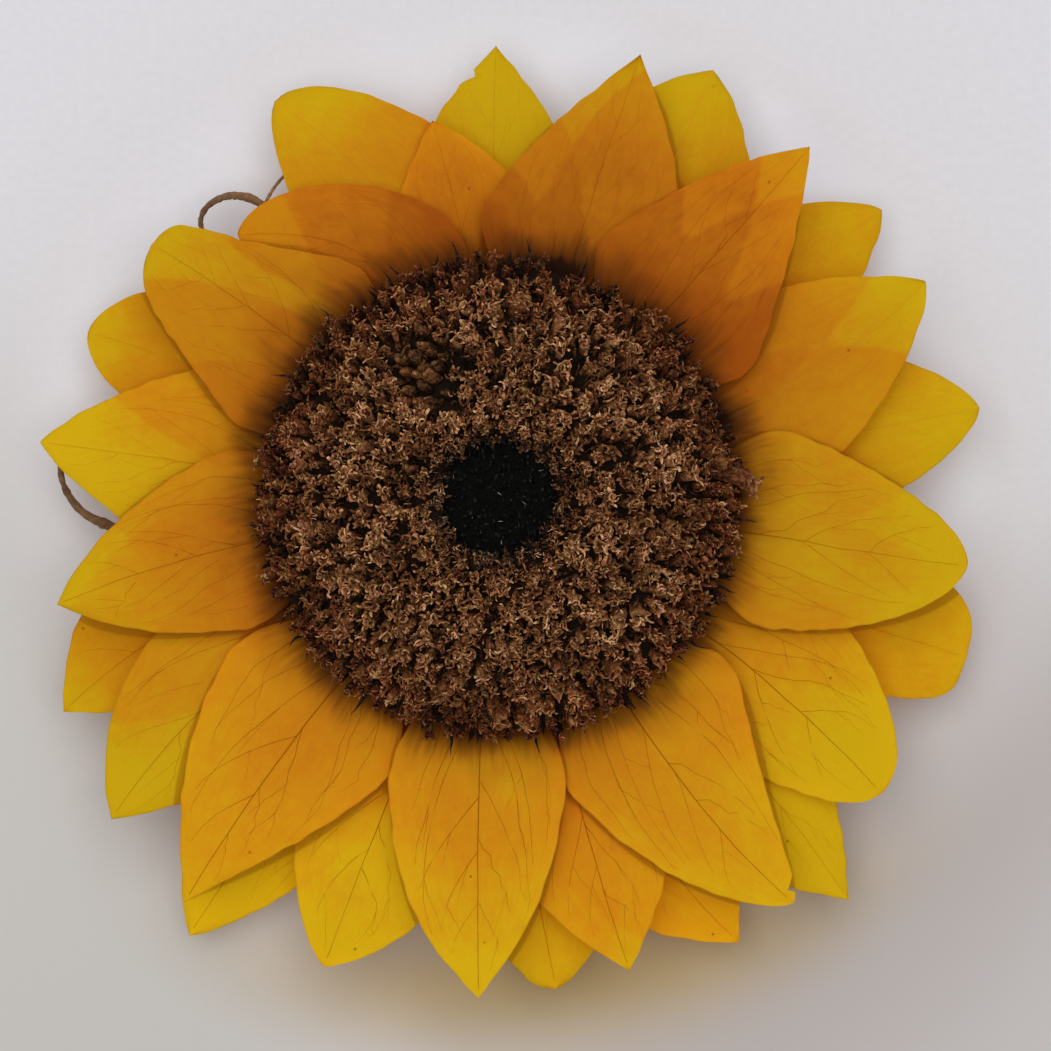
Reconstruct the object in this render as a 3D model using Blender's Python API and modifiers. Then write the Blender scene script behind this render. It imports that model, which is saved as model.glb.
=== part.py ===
"""Dried sunflower head, lying face up on the flat cut end of its stem.

Units are metres, +Z is up and the origin is the centre of the cut. Lengths below are written in
millimetres times MM. A heading is in degrees clockwise from +Y, seen from above.
"""

import math
import random
from collections import namedtuple

import bmesh
import bpy
from mathutils import Vector
from mathutils.geometry import delaunay_2d_cdt

MM = 0.001
UP = Vector((0, 0, 1))
GOLDEN_ANGLE = math.pi * (3 - math.sqrt(5))
WELD = 0.001 * MM

# The receptacle: the fleshy dish that carries everything, grown out of the stem
RECEPTACLE_STEPS = 40
RIM_RADIUS = 29.9 * MM
RIM_TOP = 19.6 * MM
RIM_FOOT = 11.3 * MM
STEM_RADIUS = 9.0 * MM
CUT_RADIUS = 8.5 * MM
STEM_LENGTH = 4.0 * MM

# The petals stand in six levels, two to each row, and the levels spread apart outwards.
# Their droop is in metres for each square metre out from the root.
PETAL_ROOT_RADIUS = 30.3 * MM
PETAL_THICKNESS = 0.6 * MM
LOWEST_PETAL = 12.6 * MM
LEVEL_STEP = 1.3 * MM
LEVEL_SLOPE = 0.035
PETAL_DROOP = 3.5

# A petal's own sway over its level: how far it may go, and what it is made of
SWAY_AT_ROOT = 0.2 * MM
SWAY_GROWTH = 0.017
CUP_SHARE = 0.6
RIPPLE_SHARE = 0.25
RIPPLES = 1.3
RIPPLE_SLANT = 2.0
TWIST_SHARE = 0.15

# A petal's outline, as shares of its width and length
ROOT_SHARE = 0.66
SHOULDER = 0.25
TAPER_START = 0.1
SIDE_SKEW = 1.6
TIP_WIDTH = 0.7 * MM
PETAL_ROWS = 9
PETAL_COLUMNS = 4
ROWS_TOWARDS_TIP = 1.5

# name, level, heading and reach of the tip, width, fullness, bluntness, turn of the root
# Fullness is how far out a petal keeps its width. Bluntness 1 is a point, and 0.5 is round.
# The turn is how many degrees the root's heading is past the tip's. The last four are how much
# fuller a side is, in millimetres: before the heading and past it, two thirds of the way out,
# and then the same two sides near the root.
Petal = namedtuple(
    "Petal",
    "name level heading reach width fullness bluntness turn before past near_before near_past",
)
PETALS = [
    Petal("petal_back_01", 0, 359.6, 63.6, 25.0, 2.25, 1.05, -0.5, 0.7, 0.3, 0.0, -0.2),
    Petal("petal_back_02", 1, 26.5, 67.1, 28.0, 2.55, 0.80, 2.0, 1.0, 0.2, 0.0, 0.2),
    Petal("petal_back_03", 0, 52.9, 67.4, 24.5, 2.00, 0.75, -1.5, 0.0, 0.0, 0.0, 0.0),
    Petal("petal_back_04", 1, 79.3, 68.4, 26.0, 2.20, 0.70, 0.0, 0.5, -0.5, 0.0, -0.2),
    Petal("petal_back_05", 0, 108.7, 69.4, 23.5, 2.75, 0.30, 1.0, 1.2, -1.7, 0.0, -0.3),
    Petal("petal_back_06", 1, 138.9, 74.7, 26.5, 2.65, 1.05, -3.0, -1.7, 1.8, 0.2, 0.2),
    Petal("petal_back_07", 0, 151.6, 70.8, 27.0, 2.75, 0.95, 7.5, 0.5, 0.2, 0.0, 0.1),
    Petal("petal_back_08", 1, 173.4, 69.0, 25.5, 2.45, 0.60, 2.5, 1.0, -1.7, 0.0, -0.2),
    Petal("petal_back_09", 0, 215.4, 75.5, 26.0, 2.35, 0.85, 0.5, -0.4, 0.9, 0.0, 0.0),
    Petal("petal_back_10", 1, 244.0, 67.8, 27.0, 2.50, 0.95, 6.5, -0.2, 0.9, 0.0, 0.0),
    Petal("petal_back_11", 0, 292.2, 62.2, 24.0, 2.10, 0.55, 2.0, -0.7, 0.8, 0.0, 0.0),
    Petal("petal_back_12", 1, 330.6, 63.8, 27.5, 1.70, 0.55, 12.0, 0.6, -0.6, -0.2, 2.4),
    Petal("petal_middle_1", 2, 350.0, 53.3, 22.5, 1.90, 0.95, 2.5, -0.2, 0.0, -0.2, 0.3),
    Petal("petal_middle_2", 3, 63.0, 66.3, 27.5, 2.20, 0.80, 6.5, 0.4, -1.7, 0.0, 1.1),
    Petal("petal_middle_3", 2, 127.5, 67.2, 29.0, 2.20, 0.55, -4.5, -0.7, -1.2, 1.1, 0.4),
    Petal("petal_middle_4", 3, 164.5, 67.8, 26.5, 2.45, 1.00, 1.0, 0.4, 0.0, 0.3, 0.0),
    Petal("petal_middle_5", 2, 200.5, 69.6, 27.0, 2.70, 0.80, -0.5, 0.9, -0.8, 0.5, -0.2),
    Petal("petal_middle_6", 3, 230.4, 69.7, 25.5, 2.85, 0.95, 6.5, 0.0, 0.4, 0.0, -0.8),
    Petal("petal_middle_7", 2, 277.1, 64.3, 28.5, 1.90, 0.85, -0.5, -0.9, -0.3, 0.9, 1.3),
    Petal("petal_middle_8", 3, 315.3, 51.3, 17.0, 3.45, 0.65, 19.0, 0.0, -0.7, 0.0, 5.0),
    Petal("petal_front_1", 4, 17.7, 64.3, 28.0, 1.95, 1.05, -0.5, -0.9, 0.3, 0.7, -0.3),
    Petal("petal_front_2", 5, 41.5, 64.4, 27.5, 1.15, 0.90, 0.0, 1.2, 0.6, 0.2, 2.1),
    Petal("petal_front_3", 4, 98.1, 65.3, 29.0, 1.90, 0.60, -0.5, -1.1, -0.3, 1.0, -2.4),
    Petal("petal_front_4", 4, 143.9, 69.0, 29.0, 1.35, 0.70, 4.0, -1.2, 0.6, 2.1, -0.8),
    Petal("petal_front_5", 5, 182.3, 68.6, 23.0, 3.15, 1.05, 2.0, -0.4, 0.0, 1.3, 1.4),
    Petal("petal_front_6", 4, 217.9, 70.7, 29.0, 1.90, 1.05, 3.0, -0.6, 0.5, -0.7, 0.4),
    Petal("petal_front_7", 5, 256.5, 62.3, 20.5, 3.00, 0.95, 3.5, 0.0, -1.0, 2.1, 5.0),
    Petal("petal_front_8", 4, 306.1, 59.2, 22.0, 2.95, 0.45, 1.5, -0.8, -2.9, 5.0, 5.0),
]

# The disc of florets, a dome with a shallow dish for the dark heart
DISC_RADIUS = 33.0 * MM
DISC_FOOT = 19.9 * MM
DISC_LIP = 21.0 * MM
DISC_RIM = 21.8 * MM
DISC_CREST = 26.6 * MM
CREST_RADIUS = 13.0 * MM
DISC_DIP = 0.8 * MM
DISC_FALL = 2.2
FLORET_SPACING = 2.5 * MM
FLORET_HEIGHT = 2.5 * MM
FLORET_LEAN = 0.85
RIM_FLORET_SHARE = 0.55
HEART_RADIUS = 7.7 * MM
HEART_GAP = 0.3 * MM
HEART_FLOOR = 24.0 * MM
HEART_RIM = 25.0 * MM
HEART_CREST = 25.4 * MM
BUD_SPACING = 1.3 * MM
BUD_HEIGHT = 0.9 * MM

# The bracts: dried green scales behind the petals, in two series, each with a long thin tip
BRACT_ROOT_RADIUS = 26.5 * MM
BRACT_THICKNESS = 0.9 * MM
BRACT_TIP_WIDTH = 0.9 * MM
BRACT_KEEL = 0.18
LOWEST_BRACT = 1.2 * MM
BRACT_ROWS = 8
THREAD_ROWS = 22
Series = namedtuple("Series", "count first_heading root_height length width lift droop")
BRACT_SERIES = (
    Series(12, 8.0, 9.8 * MM, 25.0 * MM, 12.0 * MM, 0.7 * MM, 5.5 * MM),
    Series(12, 23.0, 8.9 * MM, 20.0 * MM, 10.5 * MM, 0.4 * MM, 7.0 * MM),
)
# Three inner bracts end in threads that curl out past the petals: plan points of each thread
THREADS = {
    262.0: (
        (-42.0, -5.4), (-50.0, -5.0), (-54.6, -3.8), (-58.6, -1.8),
        (-61.1, 1.6), (-61.7, 5.2), (-60.4, 8.6),
    ),
    321.0: (
        (-25.0, 32.0), (-32.6, 40.8), (-37.2, 42.7), (-40.8, 41.4),
        (-42.0, 38.8), (-40.4, 36.2), (-36.5, 33.6),
    ),
    337.0: (
        (-18.5, 38.0), (-23.0, 46.0), (-26.8, 47.6), (-30.2, 45.5),
        (-32.4, 42.6), (-33.6, 39.4), (-32.4, 36.4),
    ),
}
THREAD_ROOM = 9.0 * MM
THREAD_HEIGHT = 7.6 * MM
THREAD_BRACT_SHARE = 0.42

YELLOW = (0.80, 0.42, 0.02)
GOLD = (0.72, 0.33, 0.02)
ORANGE = (0.62, 0.25, 0.02)
FLORET_BROWN = (0.14, 0.07, 0.035)
HEART_BLACK = (0.012, 0.012, 0.012)
DRIED_GREEN = (0.20, 0.16, 0.07)


def clear_scene():
    for obj in list(bpy.data.objects):
        bpy.data.objects.remove(obj)


def new_collection(name):
    collection = bpy.data.collections.new(name)
    bpy.context.scene.collection.children.link(collection)
    return collection


def new_material(name, colour, roughness):
    material = bpy.data.materials.new(name)
    material.use_nodes = True
    shader = material.node_tree.nodes["Principled BSDF"]
    shader.inputs["Base Color"].default_value = (*colour, 1)
    shader.inputs["Roughness"].default_value = roughness
    shader.inputs["Metallic"].default_value = 0
    return material


def object_from(bm, name, collection, material):
    """A new object that holds the finished bmesh, which is freed."""
    mesh = bpy.data.meshes.new(name)
    bm.to_mesh(mesh)
    bm.free()
    mesh.materials.append(material)
    obj = bpy.data.objects.new(name, mesh)
    collection.objects.link(obj)
    return obj


def direction(heading):
    angle = math.radians(heading)
    return Vector((math.sin(angle), math.cos(angle), 0))


def apply_modifiers(obj):
    """Replaces the object's mesh with its evaluated one."""
    graph = bpy.context.evaluated_depsgraph_get()
    evaluated = bpy.data.meshes.new_from_object(obj.evaluated_get(graph))
    obj.modifiers.clear()
    obj.data = evaluated


# A blade is a strip of rows along its midline and columns across it, thickened both ways


def blade(name, surface, rows, columns, thickness, collection, material):
    """surface(s, v) is a point of the blade, s from 0 at its root to 1, v from -1 to 1 across."""
    bm = bmesh.new()
    bmesh.ops.create_grid(bm, x_segments=columns, y_segments=rows, size=1)
    for vertex in bm.verts:
        across, along = vertex.co.x, (vertex.co.y + 1) / 2
        vertex.co = surface(along, across)
    bmesh.ops.remove_doubles(bm, verts=bm.verts, dist=WELD)
    bmesh.ops.triangulate(bm, faces=bm.faces)
    obj = object_from(bm, name, collection, material)
    solidify = obj.modifiers.new("Thickness", "SOLIDIFY")
    solidify.thickness = thickness
    solidify.offset = 0
    return obj


def petal_midline(petal, s):
    """(point, direction) of the midline in plan: it leaves the rim squarely and bends to the tip."""
    outward = direction(petal.heading + petal.turn)
    root = outward * PETAL_ROOT_RADIUS
    tip = direction(petal.heading) * petal.reach * MM
    bend = root + outward * (tip - root).length / 2
    point = root * (1 - s) ** 2 + bend * 2 * s * (1 - s) + tip * s**2
    along = (bend - root) * (1 - s) + (tip - bend) * s
    return point, along.normalized()


def petal_half_width(petal, s, past):
    """Half the width at s, on the side past the heading or on the one before it."""
    shoulder = ROOT_SHARE + (1 - ROOT_SHARE) * math.sin(math.pi / 2 * min(1, s / SHOULDER))
    taper = max(0, (s - TAPER_START) / (1 - TAPER_START))
    outline = max(0, 1 - taper**petal.fullness) ** petal.bluntness
    middle, near = (petal.past, petal.near_past) if past else (petal.before, petal.near_before)
    extra = middle * math.sin(math.pi * s**SIDE_SKEW) + near * (1 - s) ** 2
    return max((petal.width * shoulder * outline / 2 + extra) * MM, TIP_WIDTH / 2)


def petal_height(petal, point, s, v, mood):
    """Height over the table: the level's own dish, and the petal's own cup and ripple on it."""
    out = point.length - PETAL_ROOT_RADIUS
    level = LOWEST_PETAL + petal.level * (LEVEL_STEP + LEVEL_SLOPE * out)
    cup = CUP_SHARE * mood.cup * (2 * v * v - 1)
    ripple = RIPPLE_SHARE * math.sin(2 * math.pi * (RIPPLES * s + mood.phase) + RIPPLE_SLANT * v)
    twist = TWIST_SHARE * mood.twist * v
    sway = (SWAY_AT_ROOT + SWAY_GROWTH * out) * (cup + ripple + twist)
    return level - PETAL_DROOP * out**2 + sway


Mood = namedtuple("Mood", "cup phase twist")


def petal_moods():
    """The seeded differences between one petal and the next."""
    draw = random.Random(7)
    return [
        Mood(draw.uniform(-1, 1), draw.random(), draw.uniform(-1, 1)) for _ in PETALS
    ]


def make_petal(petal, mood, collection, material):
    def surface(along, v):
        s = 1 - (1 - along) ** ROWS_TOWARDS_TIP
        point, forward = petal_midline(petal, s)
        across = forward.cross(UP)
        point = point + across * v * petal_half_width(petal, s, v > 0)
        return point + UP * petal_height(petal, point, s, v, mood)

    return blade(
        petal.name, surface, PETAL_ROWS, PETAL_COLUMNS, PETAL_THICKNESS, collection, material
    )


def make_petals(collection):
    finishes = {
        "back": new_material("petal_yellow", YELLOW, 0.55),
        "middle": new_material("petal_gold", GOLD, 0.55),
        "front": new_material("petal_orange", ORANGE, 0.55),
    }
    for petal, mood in zip(PETALS, petal_moods()):
        row = petal.name.split("_")[1]
        make_petal(petal, mood, collection, finishes[row])


# The receptacle is turned about Z, and the bracts are joined to its back


def turned_receptacle(collection, material):
    profile = [
        (0, RIM_TOP),
        (RIM_RADIUS, RIM_TOP),
        (RIM_RADIUS, RIM_FOOT),
        (28.6 * MM, 9.9 * MM),
        (25.0 * MM, 8.3 * MM),
        (18.0 * MM, 6.3 * MM),
        (12.0 * MM, 5.0 * MM),
        (STEM_RADIUS, STEM_LENGTH - 0.6 * MM),
        (STEM_RADIUS, 0.5 * MM),
        (CUT_RADIUS, 0),
        (0, 0),
    ]
    bm = bmesh.new()
    points = [bm.verts.new((radius, 0, height)) for radius, height in profile]
    for first, second in zip(points, points[1:]):
        bm.edges.new((first, second))
    obj = object_from(bm, "receptacle_with_bracts", collection, material)
    screw = obj.modifiers.new("Turn", "SCREW")
    screw.steps = screw.render_steps = RECEPTACLE_STEPS
    screw.use_merge_vertices = True
    screw.merge_threshold = 0.01 * MM
    return obj


def smooth_route(points, share):
    """A point of the Catmull-Rom curve through the points, share from 0 to 1 along it."""
    spans = len(points) - 1
    place = min(share * spans, spans - 1e-6)
    i = int(place)
    t = place - i
    p1, p2 = points[i], points[i + 1]
    p0 = points[i - 1] if i else p1 * 2 - p2
    p3 = points[i + 2] if i + 2 <= spans else p2 * 2 - p1
    return (
        p1 * 2
        + (p2 - p0) * t
        + (p0 * 2 - p1 * 5 + p2 * 4 - p3) * t**2
        + (p1 * 3 - p0 - p2 * 3 + p3) * t**3
    ) / 2


def bract_half_width(series, s, reach):
    """Broad at its root, then drawn out into a thin tip. reach is where the broad part ends."""
    share = min(1, s / reach)
    broad = series.width / 2 * (1 - share) ** 1.6 * (1 + 1.6 * share)
    return max(broad, BRACT_TIP_WIDTH / 2)


def strip_surface(points, half_width):
    """surface(s, v) of a strip that follows the points, with a slight keel under its midline."""

    def surface(s, v):
        point = smooth_route(points, s)
        ahead = smooth_route(points, min(1, s + 0.01)) - smooth_route(points, max(0, s - 0.01))
        across = ahead.cross(UP).normalized()
        half = half_width(s)
        return point + across * v * half + UP * BRACT_KEEL * half * v * v

    return surface


def bract_route(series, heading, draw):
    """Points along a plain bract: out from the back, then drooping, with its tip to one side."""
    outward = direction(heading)
    side = outward.cross(UP)
    length = series.length * draw.uniform(0.85, 1.12)
    curl = draw.uniform(-4.5, 4.5) * MM
    droop = series.droop * draw.uniform(0.7, 1.15)
    points = []
    for step in range(6):
        s = step / 5
        out = BRACT_ROOT_RADIUS + length * s
        height = series.root_height + series.lift * math.sin(math.pi * s) - droop * s**2
        points.append(outward * out + side * curl * s**3 + UP * max(height, LOWEST_BRACT))
    return points


def thread_route(series, heading, plan):
    """Points of an inner bract whose tip follows the plan, level under the petals."""
    outward = direction(heading)
    start = outward * BRACT_ROOT_RADIUS + UP * series.root_height
    shoulder = outward * (BRACT_ROOT_RADIUS + THREAD_ROOM) + UP * series.root_height
    thread = [Vector((x, y, 0)) * MM + UP * THREAD_HEIGHT for x, y in plan]
    return [start, shoulder, *thread]


def bract_routes():
    """(series, points, rows, share of the length that is broad) of each bract."""
    draw = random.Random(3)
    inner = BRACT_SERIES[0]
    for series in BRACT_SERIES:
        step = 360 / series.count
        for i in range(series.count):
            heading = series.first_heading + step * i + draw.uniform(-3, 3)
            crowded = any(abs(heading - h) < step / 2 for h in THREADS)
            if series is inner and crowded:
                continue
            yield series, bract_route(series, heading, draw), BRACT_ROWS, 1.0
    for heading, plan in THREADS.items():
        yield inner, thread_route(inner, heading, plan), THREAD_ROWS, THREAD_BRACT_SHARE


def make_receptacle(collection):
    material = new_material("dried_green", DRIED_GREEN, 0.8)
    receptacle = turned_receptacle(collection, material)
    bracts = new_collection("bracts")
    for number, (series, points, rows, reach) in enumerate(bract_routes()):
        surface = strip_surface(points, lambda s: bract_half_width(series, s, reach))
        bract = blade(
            f"bract_{number:02d}", surface, rows, 2, BRACT_THICKNESS, bracts, material
        )
        apply_modifiers(bract)
    join = receptacle.modifiers.new("Bracts", "BOOLEAN")
    join.operation = "UNION"
    join.operand_type = "COLLECTION"
    join.collection = bracts
    apply_modifiers(receptacle)
    for bract in list(bracts.objects):
        bpy.data.objects.remove(bract)
    bpy.data.collections.remove(bracts)


# The florets are peaks on a triangulated dome, one at each place of a sunflower's spiral


def spiral_places(inner, outer, spacing):
    """Places of a sunflower's seed spiral between two radii, spacing apart."""
    scale = spacing * 0.94 / math.sqrt(math.pi * 0.866)
    places = []
    for k in range(int((outer / scale) ** 2) + 1):
        radius = scale * math.sqrt(k + 0.5)
        if inner < radius < outer:
            angle = k * GOLDEN_ANGLE
            places.append(Vector((radius * math.cos(angle), radius * math.sin(angle))))
    return places


def circle_places(radius, spacing):
    count = max(12, round(2 * math.pi * radius / spacing))
    step = 2 * math.pi / count
    return [Vector((radius * math.cos(i * step), radius * math.sin(i * step))) for i in range(count)]


def floret_mesh(inner, outer, spacing, dome, peak):
    """Peaks with a valley point between each three. dome(radius) is the valleys' height and
    peak(place) the peak's whole offset from the dome. Both rims stay on the dome."""
    florets = spiral_places(inner + spacing * 0.6, outer - spacing * 0.6, spacing)
    rims = circle_places(outer, spacing)
    if inner:
        rims += circle_places(inner, spacing)
    places, _, faces, *_ = delaunay_2d_cdt(florets + rims, [], [], 0, WELD)
    bm = bmesh.new()
    vertices = [bm.verts.new((p.x, p.y, dome(p.length))) for p in places]
    for corners in faces:
        centre = sum((places[i] for i in corners), Vector((0, 0))) / 3
        if centre.length > inner * 0.99:
            bm.faces.new([vertices[i] for i in corners])
    bmesh.ops.recalc_face_normals(bm, faces=bm.faces)
    ridges = [edge for edge in bm.edges if not edge.is_boundary]
    valleys = bmesh.ops.poke(bm, faces=bm.faces)["verts"]
    for valley in valleys:
        valley.co.z = dome(valley.co.xy.length)
    bmesh.ops.rotate_edges(bm, edges=ridges, use_ccw=True)
    for vertex in vertices:
        if not vertex.is_boundary:
            vertex.co += peak(vertex.co)
    return bm


def rim_edges(bm, radius):
    tolerance = 0.1 * MM
    return [
        edge
        for edge in bm.edges
        if edge.is_boundary and all(abs(v.co.xy.length - radius) < tolerance for v in edge.verts)
    ]


def extrude_rim(bm, edges, radius, height):
    """Carries a round rim on to another radius and height, and returns its new edges."""
    made = bmesh.ops.extrude_edge_only(bm, edges=edges)["geom"]
    for vertex in (g for g in made if isinstance(g, bmesh.types.BMVert)):
        flat = vertex.co.xy.normalized() * radius
        vertex.co = Vector((flat.x, flat.y, height))
    return [g for g in made if isinstance(g, bmesh.types.BMEdge)]


def disc_dome(radius):
    """The disc's height between its florets: it falls to the rim, and a little to the heart."""
    if radius < CREST_RADIUS:
        inside = (CREST_RADIUS - radius) / (CREST_RADIUS - HEART_RADIUS)
        return DISC_CREST - DISC_DIP * inside**2
    outside = (radius - CREST_RADIUS) / (DISC_RADIUS - CREST_RADIUS)
    return DISC_CREST - (DISC_CREST - DISC_RIM) * outside**DISC_FALL


def make_disc_florets(collection):
    draw = random.Random(11)

    def peak(place):
        out = place.xy.length / DISC_RADIUS
        lean = place.xy.normalized() * FLORET_HEIGHT * FLORET_LEAN * out**3
        height = FLORET_HEIGHT * draw.uniform(0.75, 1.2) * (1 - (1 - RIM_FLORET_SHARE) * out**4)
        return Vector((lean.x, lean.y, height))

    inner = HEART_RADIUS + HEART_GAP
    bm = floret_mesh(inner, DISC_RADIUS, FLORET_SPACING, disc_dome, peak)
    lip = extrude_rim(bm, rim_edges(bm, DISC_RADIUS), DISC_RADIUS, DISC_LIP)
    foot = extrude_rim(bm, lip, RIM_RADIUS, DISC_FOOT)
    bmesh.ops.contextual_create(bm, geom=foot)
    dish = extrude_rim(bm, rim_edges(bm, inner), inner, HEART_FLOOR)
    bmesh.ops.contextual_create(bm, geom=dish)
    bmesh.ops.recalc_face_normals(bm, faces=bm.faces)
    object_from(bm, "disc_florets", collection, new_material("floret_brown", FLORET_BROWN, 0.9))


def make_heart(collection):
    draw = random.Random(5)

    def dome(radius):
        return HEART_CREST - (HEART_CREST - HEART_RIM) * (radius / HEART_RADIUS) ** 2

    def peak(place):
        return Vector((0, 0, BUD_HEIGHT * draw.uniform(0.7, 1.2)))

    bm = floret_mesh(0, HEART_RADIUS, BUD_SPACING, dome, peak)
    floor = HEART_FLOOR + HEART_GAP
    foot = extrude_rim(bm, rim_edges(bm, HEART_RADIUS), HEART_RADIUS, floor)
    bmesh.ops.contextual_create(bm, geom=foot)
    bmesh.ops.recalc_face_normals(bm, faces=bm.faces)
    object_from(bm, "disc_heart", collection, new_material("heart_black", HEART_BLACK, 0.8))


def main():
    clear_scene()
    head = new_collection("sunflower_head")
    make_receptacle(head)
    make_petals(head)
    make_disc_florets(head)
    make_heart(head)


main()
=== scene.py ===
"""The looks of a dried sunflower head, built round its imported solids.

Lengths are in metres, most of them written in millimetres times MM. A heading is in degrees
clockwise from +Y, seen from above, which is where the camera is.
"""

import math
from collections import namedtuple
from random import Random

import bpy
import numpy as np
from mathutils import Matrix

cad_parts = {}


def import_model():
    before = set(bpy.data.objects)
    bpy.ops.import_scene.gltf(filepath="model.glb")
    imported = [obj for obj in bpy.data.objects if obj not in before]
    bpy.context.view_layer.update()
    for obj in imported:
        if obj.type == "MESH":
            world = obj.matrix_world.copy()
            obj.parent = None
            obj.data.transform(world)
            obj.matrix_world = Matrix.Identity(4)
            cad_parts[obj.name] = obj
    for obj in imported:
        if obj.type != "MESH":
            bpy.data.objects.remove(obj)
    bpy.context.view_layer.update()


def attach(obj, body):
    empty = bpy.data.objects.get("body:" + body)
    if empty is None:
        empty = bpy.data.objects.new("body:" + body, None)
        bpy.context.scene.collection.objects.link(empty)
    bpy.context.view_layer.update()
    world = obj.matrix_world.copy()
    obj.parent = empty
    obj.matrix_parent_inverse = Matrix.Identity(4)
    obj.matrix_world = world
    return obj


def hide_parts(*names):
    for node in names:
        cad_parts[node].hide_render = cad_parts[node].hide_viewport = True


MM = 0.001
UP = np.array([0.0, 0.0, 1.0])
GOLDEN_ANGLE = math.pi * (3 - math.sqrt(5))

# The view: straight down, from high enough that little perspective shows
VIEW_WIDTH = 146.4 * MM
VIEW_CENTRE = (3.7 * MM, -3.7 * MM)
VIEW_LEVEL = 13 * MM
LENS, SENSOR = 135.0, 36.0
FLOOR_SIZE = 3.0

# Petals, as in the solids
PETAL_ROOT_RADIUS = 30.3 * MM
LOWEST_PETAL = 12.6 * MM
LEVEL_STEP = 1.3 * MM
LEVEL_SLOPE = 0.035
PETAL_DROOP = 3.5
SWAY_AT_ROOT = 0.2 * MM
SWAY_GROWTH = 0.017
CUP_SHARE = 0.6
RIPPLE_SHARE = 0.25
RIPPLES = 1.3
RIPPLE_SLANT = 2.0
TWIST_SHARE = 0.15
ROOT_SHARE = 0.66
SHOULDER = 0.25
TAPER_START = 0.1
SIDE_SKEW = 1.6

# Petals, as only the looks have them
PETAL_ROWS = 50
PETAL_COLUMNS = 23
PETAL_MIDDLE_THICKNESS = 0.32 * MM
PETAL_EDGE_THICKNESS = 0.10 * MM
TIP_WIDTH = 0.16 * MM
EDGE_RUFFLE = 0.12 * MM
OUTLINE_WOBBLE = 0.09 * MM
VEIN_WIDTH = 0.16 * MM
VEIN_HEIGHT = 0.05 * MM
VEIN_JOINTS = 9
VEIN_STEPS = 3
PLEAT_DEPTH = 0.07 * MM
PLEAT_WIDTH = 0.06
# How much of its drawn curl a tip shows
TIP_CURL = 0.6
# How far towards -Y the painted shadow of a front petal falls on the petals beneath
SHADE_SHIFT = 0.35 * MM
# Torn edges on the side before the heading: how much of the half width is gone, how far across
# that is reached, and how far along from its middle a tear goes and where that is, as shares
Nick = namedtuple("Nick", "depth deepest length place")
NICKS = {
    "petal_front_4": Nick(0.65, 0.7, 0.024, 0.955),
    "petal_back_01": Nick(0.30, 0.9, 0.03, 0.87),
}
# How much warmer a petal is near the disc, and how much yellower at its tip
ROOT_WARMTH = 0.16
TIP_PALENESS = 0.18
# The petals' edges have their dark lines, partly their cut edges' own colour and partly painted
# shade, up to the first y, and none past the second, in millimetres; the front petals' painted
# shadows fade out the same way
LINED_TO, UNLINED_FROM = 5, 40
EDGE_LINE = 0.30
SHADE_STRENGTH = 0.42
# The ring round the disc, of dye and painted shade: how far out each of its rings starts and is full,
# in millimetres. The rust tinge is dye, the brown partly dye and partly painted shade, and the black
# painted shade under the florets at the rim
TINGE_RING = (42.5, 34.8)
BROWN_RING = (38.5, 32.4)
BLACK_RING = (33.2, 30.3)
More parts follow.
